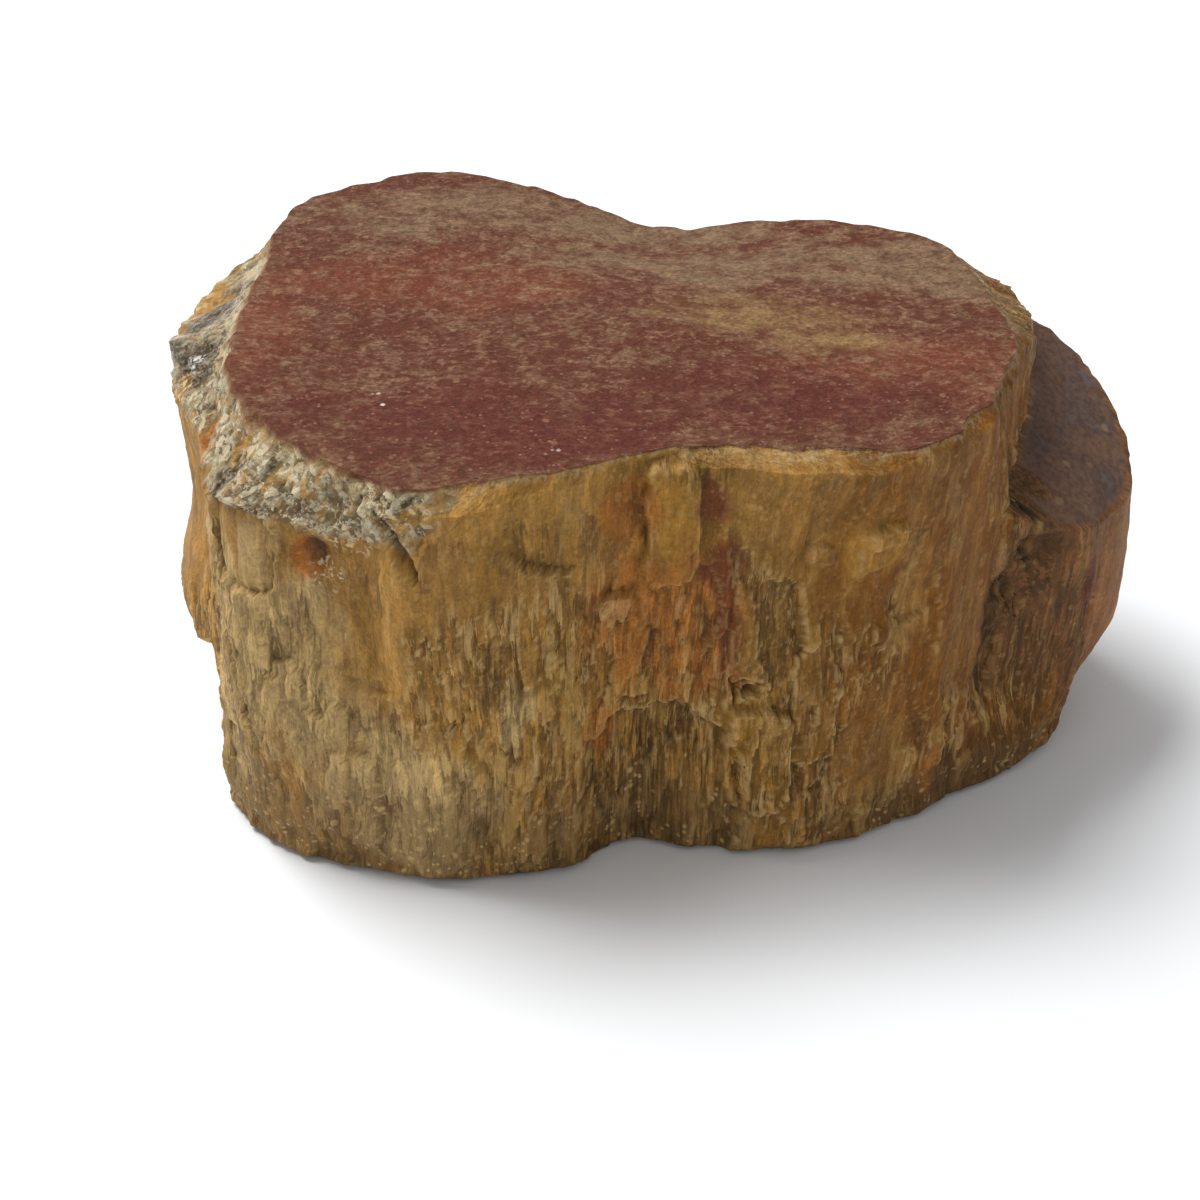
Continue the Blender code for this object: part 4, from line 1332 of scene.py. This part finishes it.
def put_together(tree, shader, colour, height, roughness):
    """Colour, relief and roughness given to the shader."""
    tree.links.new(colour, shader.inputs["Base Color"])
    if isinstance(roughness, float):
        shader.inputs["Roughness"].default_value = roughness
    else:
        tree.links.new(roughness, shader.inputs["Roughness"])
    inputs = {"Height": height, "Strength": BUMP_STRENGTH, "Distance": BUMP_DISTANCE}
    tree.links.new(add(tree, "ShaderNodeBump", inputs).outputs[0], shader.inputs["Normal"])


def wall_material(fibres_group):
    """Broken fibres alone, for the wall away from its edges."""
    material, tree, shader, _ = finish_shader("tigers_eye_wall")
    fibres = with_masks(tree, fibres_group, WALL_MASKS, Grain=attribute(tree, "grain", "Vector"))
    put_together(tree, shader, fibres["Color"], fibres["Height"], WALL_ROUGHNESS)
    return material


def top_material(top_group):
    """The weathered top alone."""
    material, tree, shader, vector = finish_shader("tigers_eye_top")
    top = with_masks(tree, top_group, TOP_MASKS, Vector=vector)
    put_together(tree, shader, top["Color"], top["Height"], WALL_ROUGHNESS + ROUGHER["top"])
    return material


def edge_material(fibres_group, top_group, streaks, specks, cracks):
    """All four finishes, mixed by the masks, with the crevice's rubble and the rim's pale line on them."""
    material, tree, shader, vector = finish_shader("tigers_eye_edge")
    masks = {name: attribute(tree, name) for name in EDGE_MASKS}
    fibres = with_masks(tree, fibres_group, WALL_MASKS, Grain=attribute(tree, "grain", "Vector"))
    top = with_masks(tree, top_group, TOP_MASKS, Vector=vector)
    quartz = with_masks(tree, flaky_quartz_group(streaks, cracks), QUARTZ_MASKS, Vector=vector)
    face = use(tree, lobe_face_group(streaks, specks), Vector=vector)
    colour, height = fibres["Color"], fibres["Height"]
    for mask, finish in (("lobe_face", face), ("chipped", quartz), ("top", top)):
        colour = paint(tree, masks[mask], colour, finish["Color"])
        height = add(tree, "ShaderNodeMix", {0: masks[mask], 2: height, 3: finish["Height"]}).outputs[0]
    crumbs = streaked(tree, streaks, vector, 0.00032, 0.00032, 40.0)
    clumps = streaked(tree, streaks, vector, 0.0011, 0.0011, 44.0)
    rubble = paint(tree, step(tree, crumbs, 0.44, 0.60), UMBER, RUSSET)
    # The crevice's rubble gives way to its painted shade
    hidden = times(tree, less(tree, 1.0, masks["dark"]), 0.9)
    colour = paint(tree, times(tree, masks["crevice"], hidden), colour, rubble)
    on_rim = times(
        tree, masks["rim_line"], step(tree, crumbs, 0.44, 0.54, 0.10, 0.85),
        step(tree, clumps, 0.35, 0.50, 0.25, 1.0),
    )
    frosted = times(tree, masks["frost"], less(tree, 1.0, masks["top"]))
    frosted = times(tree, frosted, step(tree, crumbs, 0.52, 0.60, 0.0, 0.85))
    colour = paint(tree, most(tree, on_rim, frosted), colour, CHALK)
    roughness = plus(
        tree, WALL_ROUGHNESS, *(times(tree, masks[name], more) for name, more in ROUGHER.items())
    )
    put_together(tree, shader, colour, height, roughness)
    return material


def stone_materials():
    """The stone's three materials, in the order of their numbers on the mesh: edge, wall and top."""
    streaks, specks = streak_group(), speck_group()
    cracks = crack_group(streaks)
    fibres_group = broken_fibre_group(streaks, cracks, specks)
    top_group = weathered_top_group(streaks, specks, cracks)
    edge = edge_material(fibres_group, top_group, streaks, specks, cracks)
    return edge, wall_material(fibres_group), top_material(top_group)


def face_materials(mesh, masks):
    """The material of each face: the top's or the wall's where no other finish reaches, else the edge's."""
    other = sum(masks[name] for name in ("top", "chipped", "lobe_face", "crevice", "rim_line", "frost"))
    covered = masks["rim_line"] + (1 - masks["top"])
    corners = np.zeros(len(mesh.loops), dtype=np.int32)
    mesh.loops.foreach_get("vertex_index", corners)
    starts = np.zeros(len(mesh.polygons), dtype=np.int32)
    mesh.polygons.foreach_get("loop_start", starts)
    whole_wall, whole_top = (
        np.logical_and.reduceat((by_vertex(mask) < NOTHING)[corners], starts) for mask in (other, covered)
    )
    return np.where(whole_top, 2, np.where(whole_wall, 1, 0)).astype(np.int32)


def build_stone():
    """The stone's skin, in place of the CAD node's look."""
    points, values = stone_points()
    grain = np.stack([values["grain_x"], values["grain_y"], points[:, :, 2]], axis=2)
    masks = colour_masks(points, values)
    mesh = grid_mesh("tigers_eye_skin", points, masks, grain)
    for material in stone_materials():
        mesh.materials.append(material)
    mesh.polygons.foreach_set("material_index", face_materials(mesh, masks))
    stone = bpy.data.objects.new("tigers_eye_skin", mesh)
    bpy.context.scene.collection.objects.link(stone)
    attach(stone, "root")
    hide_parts("tigers_eye")


def build_floor():
    """A plain pale floor: one square, far larger than the view."""
    half = FLOOR_SIZE / 2
    mesh = bpy.data.meshes.new("floor")
    corners = [(-half, -half, 0), (half, -half, 0), (half, half, 0), (-half, half, 0)]
    mesh.from_pydata(corners, [], [(0, 1, 2, 3)])
    material = bpy.data.materials.new("pale_floor")
    material.use_nodes = True
    shader = material.node_tree.nodes["Principled BSDF"]
    shader.inputs["Base Color"].default_value = (*FLOOR_WHITE, 1.0)
    shader.inputs["Roughness"].default_value = FLOOR_ROUGHNESS
    shader.inputs["Specular IOR Level"].default_value = 0.0
    mesh.materials.append(material)
    floor = bpy.data.objects.new("floor", mesh)
    bpy.context.scene.collection.objects.link(floor)


def add_light(name, place, size, power):
    """A square soft light at a place, turned towards the stone."""
    light = bpy.data.lights.new(name, "AREA")
    light.size = size
    light.energy = power
    holder = bpy.data.objects.new(name, light)
    holder.location = place
    aim = Vector((0, 0, HEIGHT / 2)) - Vector(place)
    holder.rotation_euler = aim.to_track_quat("-Z", "Y").to_euler()
    bpy.context.scene.collection.objects.link(holder)


def light_scene():
    """One soft light from behind and above, and an even white sky."""
    world = bpy.data.worlds.new("studio")
    world.use_nodes = True
    background = world.node_tree.nodes["Background"]
    background.inputs["Color"].default_value = (1, 1, 1, 1)
    background.inputs["Strength"].default_value = SKY_STRENGTH
    bpy.context.scene.world = world
    add_light("key", KEY_PLACE, KEY_SIZE, KEY_POWER)
    bpy.context.scene.view_settings.view_transform = "Standard"


def add_camera():
    """A camera in front of the stone, looking down at it."""
    data = bpy.data.cameras.new("camera")
    data.lens = CAMERA_LENS
    data.clip_start = CAMERA_CLIP
    camera = bpy.data.objects.new("camera", data)
    camera.location = CAMERA_PLACE
    camera.rotation_euler = (math.radians(90 - CAMERA_TILT), 0, 0)
    bpy.context.scene.collection.objects.link(camera)
    bpy.context.scene.camera = camera


add_camera()
build_stone()
build_floor()
light_scene()
bpy.context.view_layer.update()
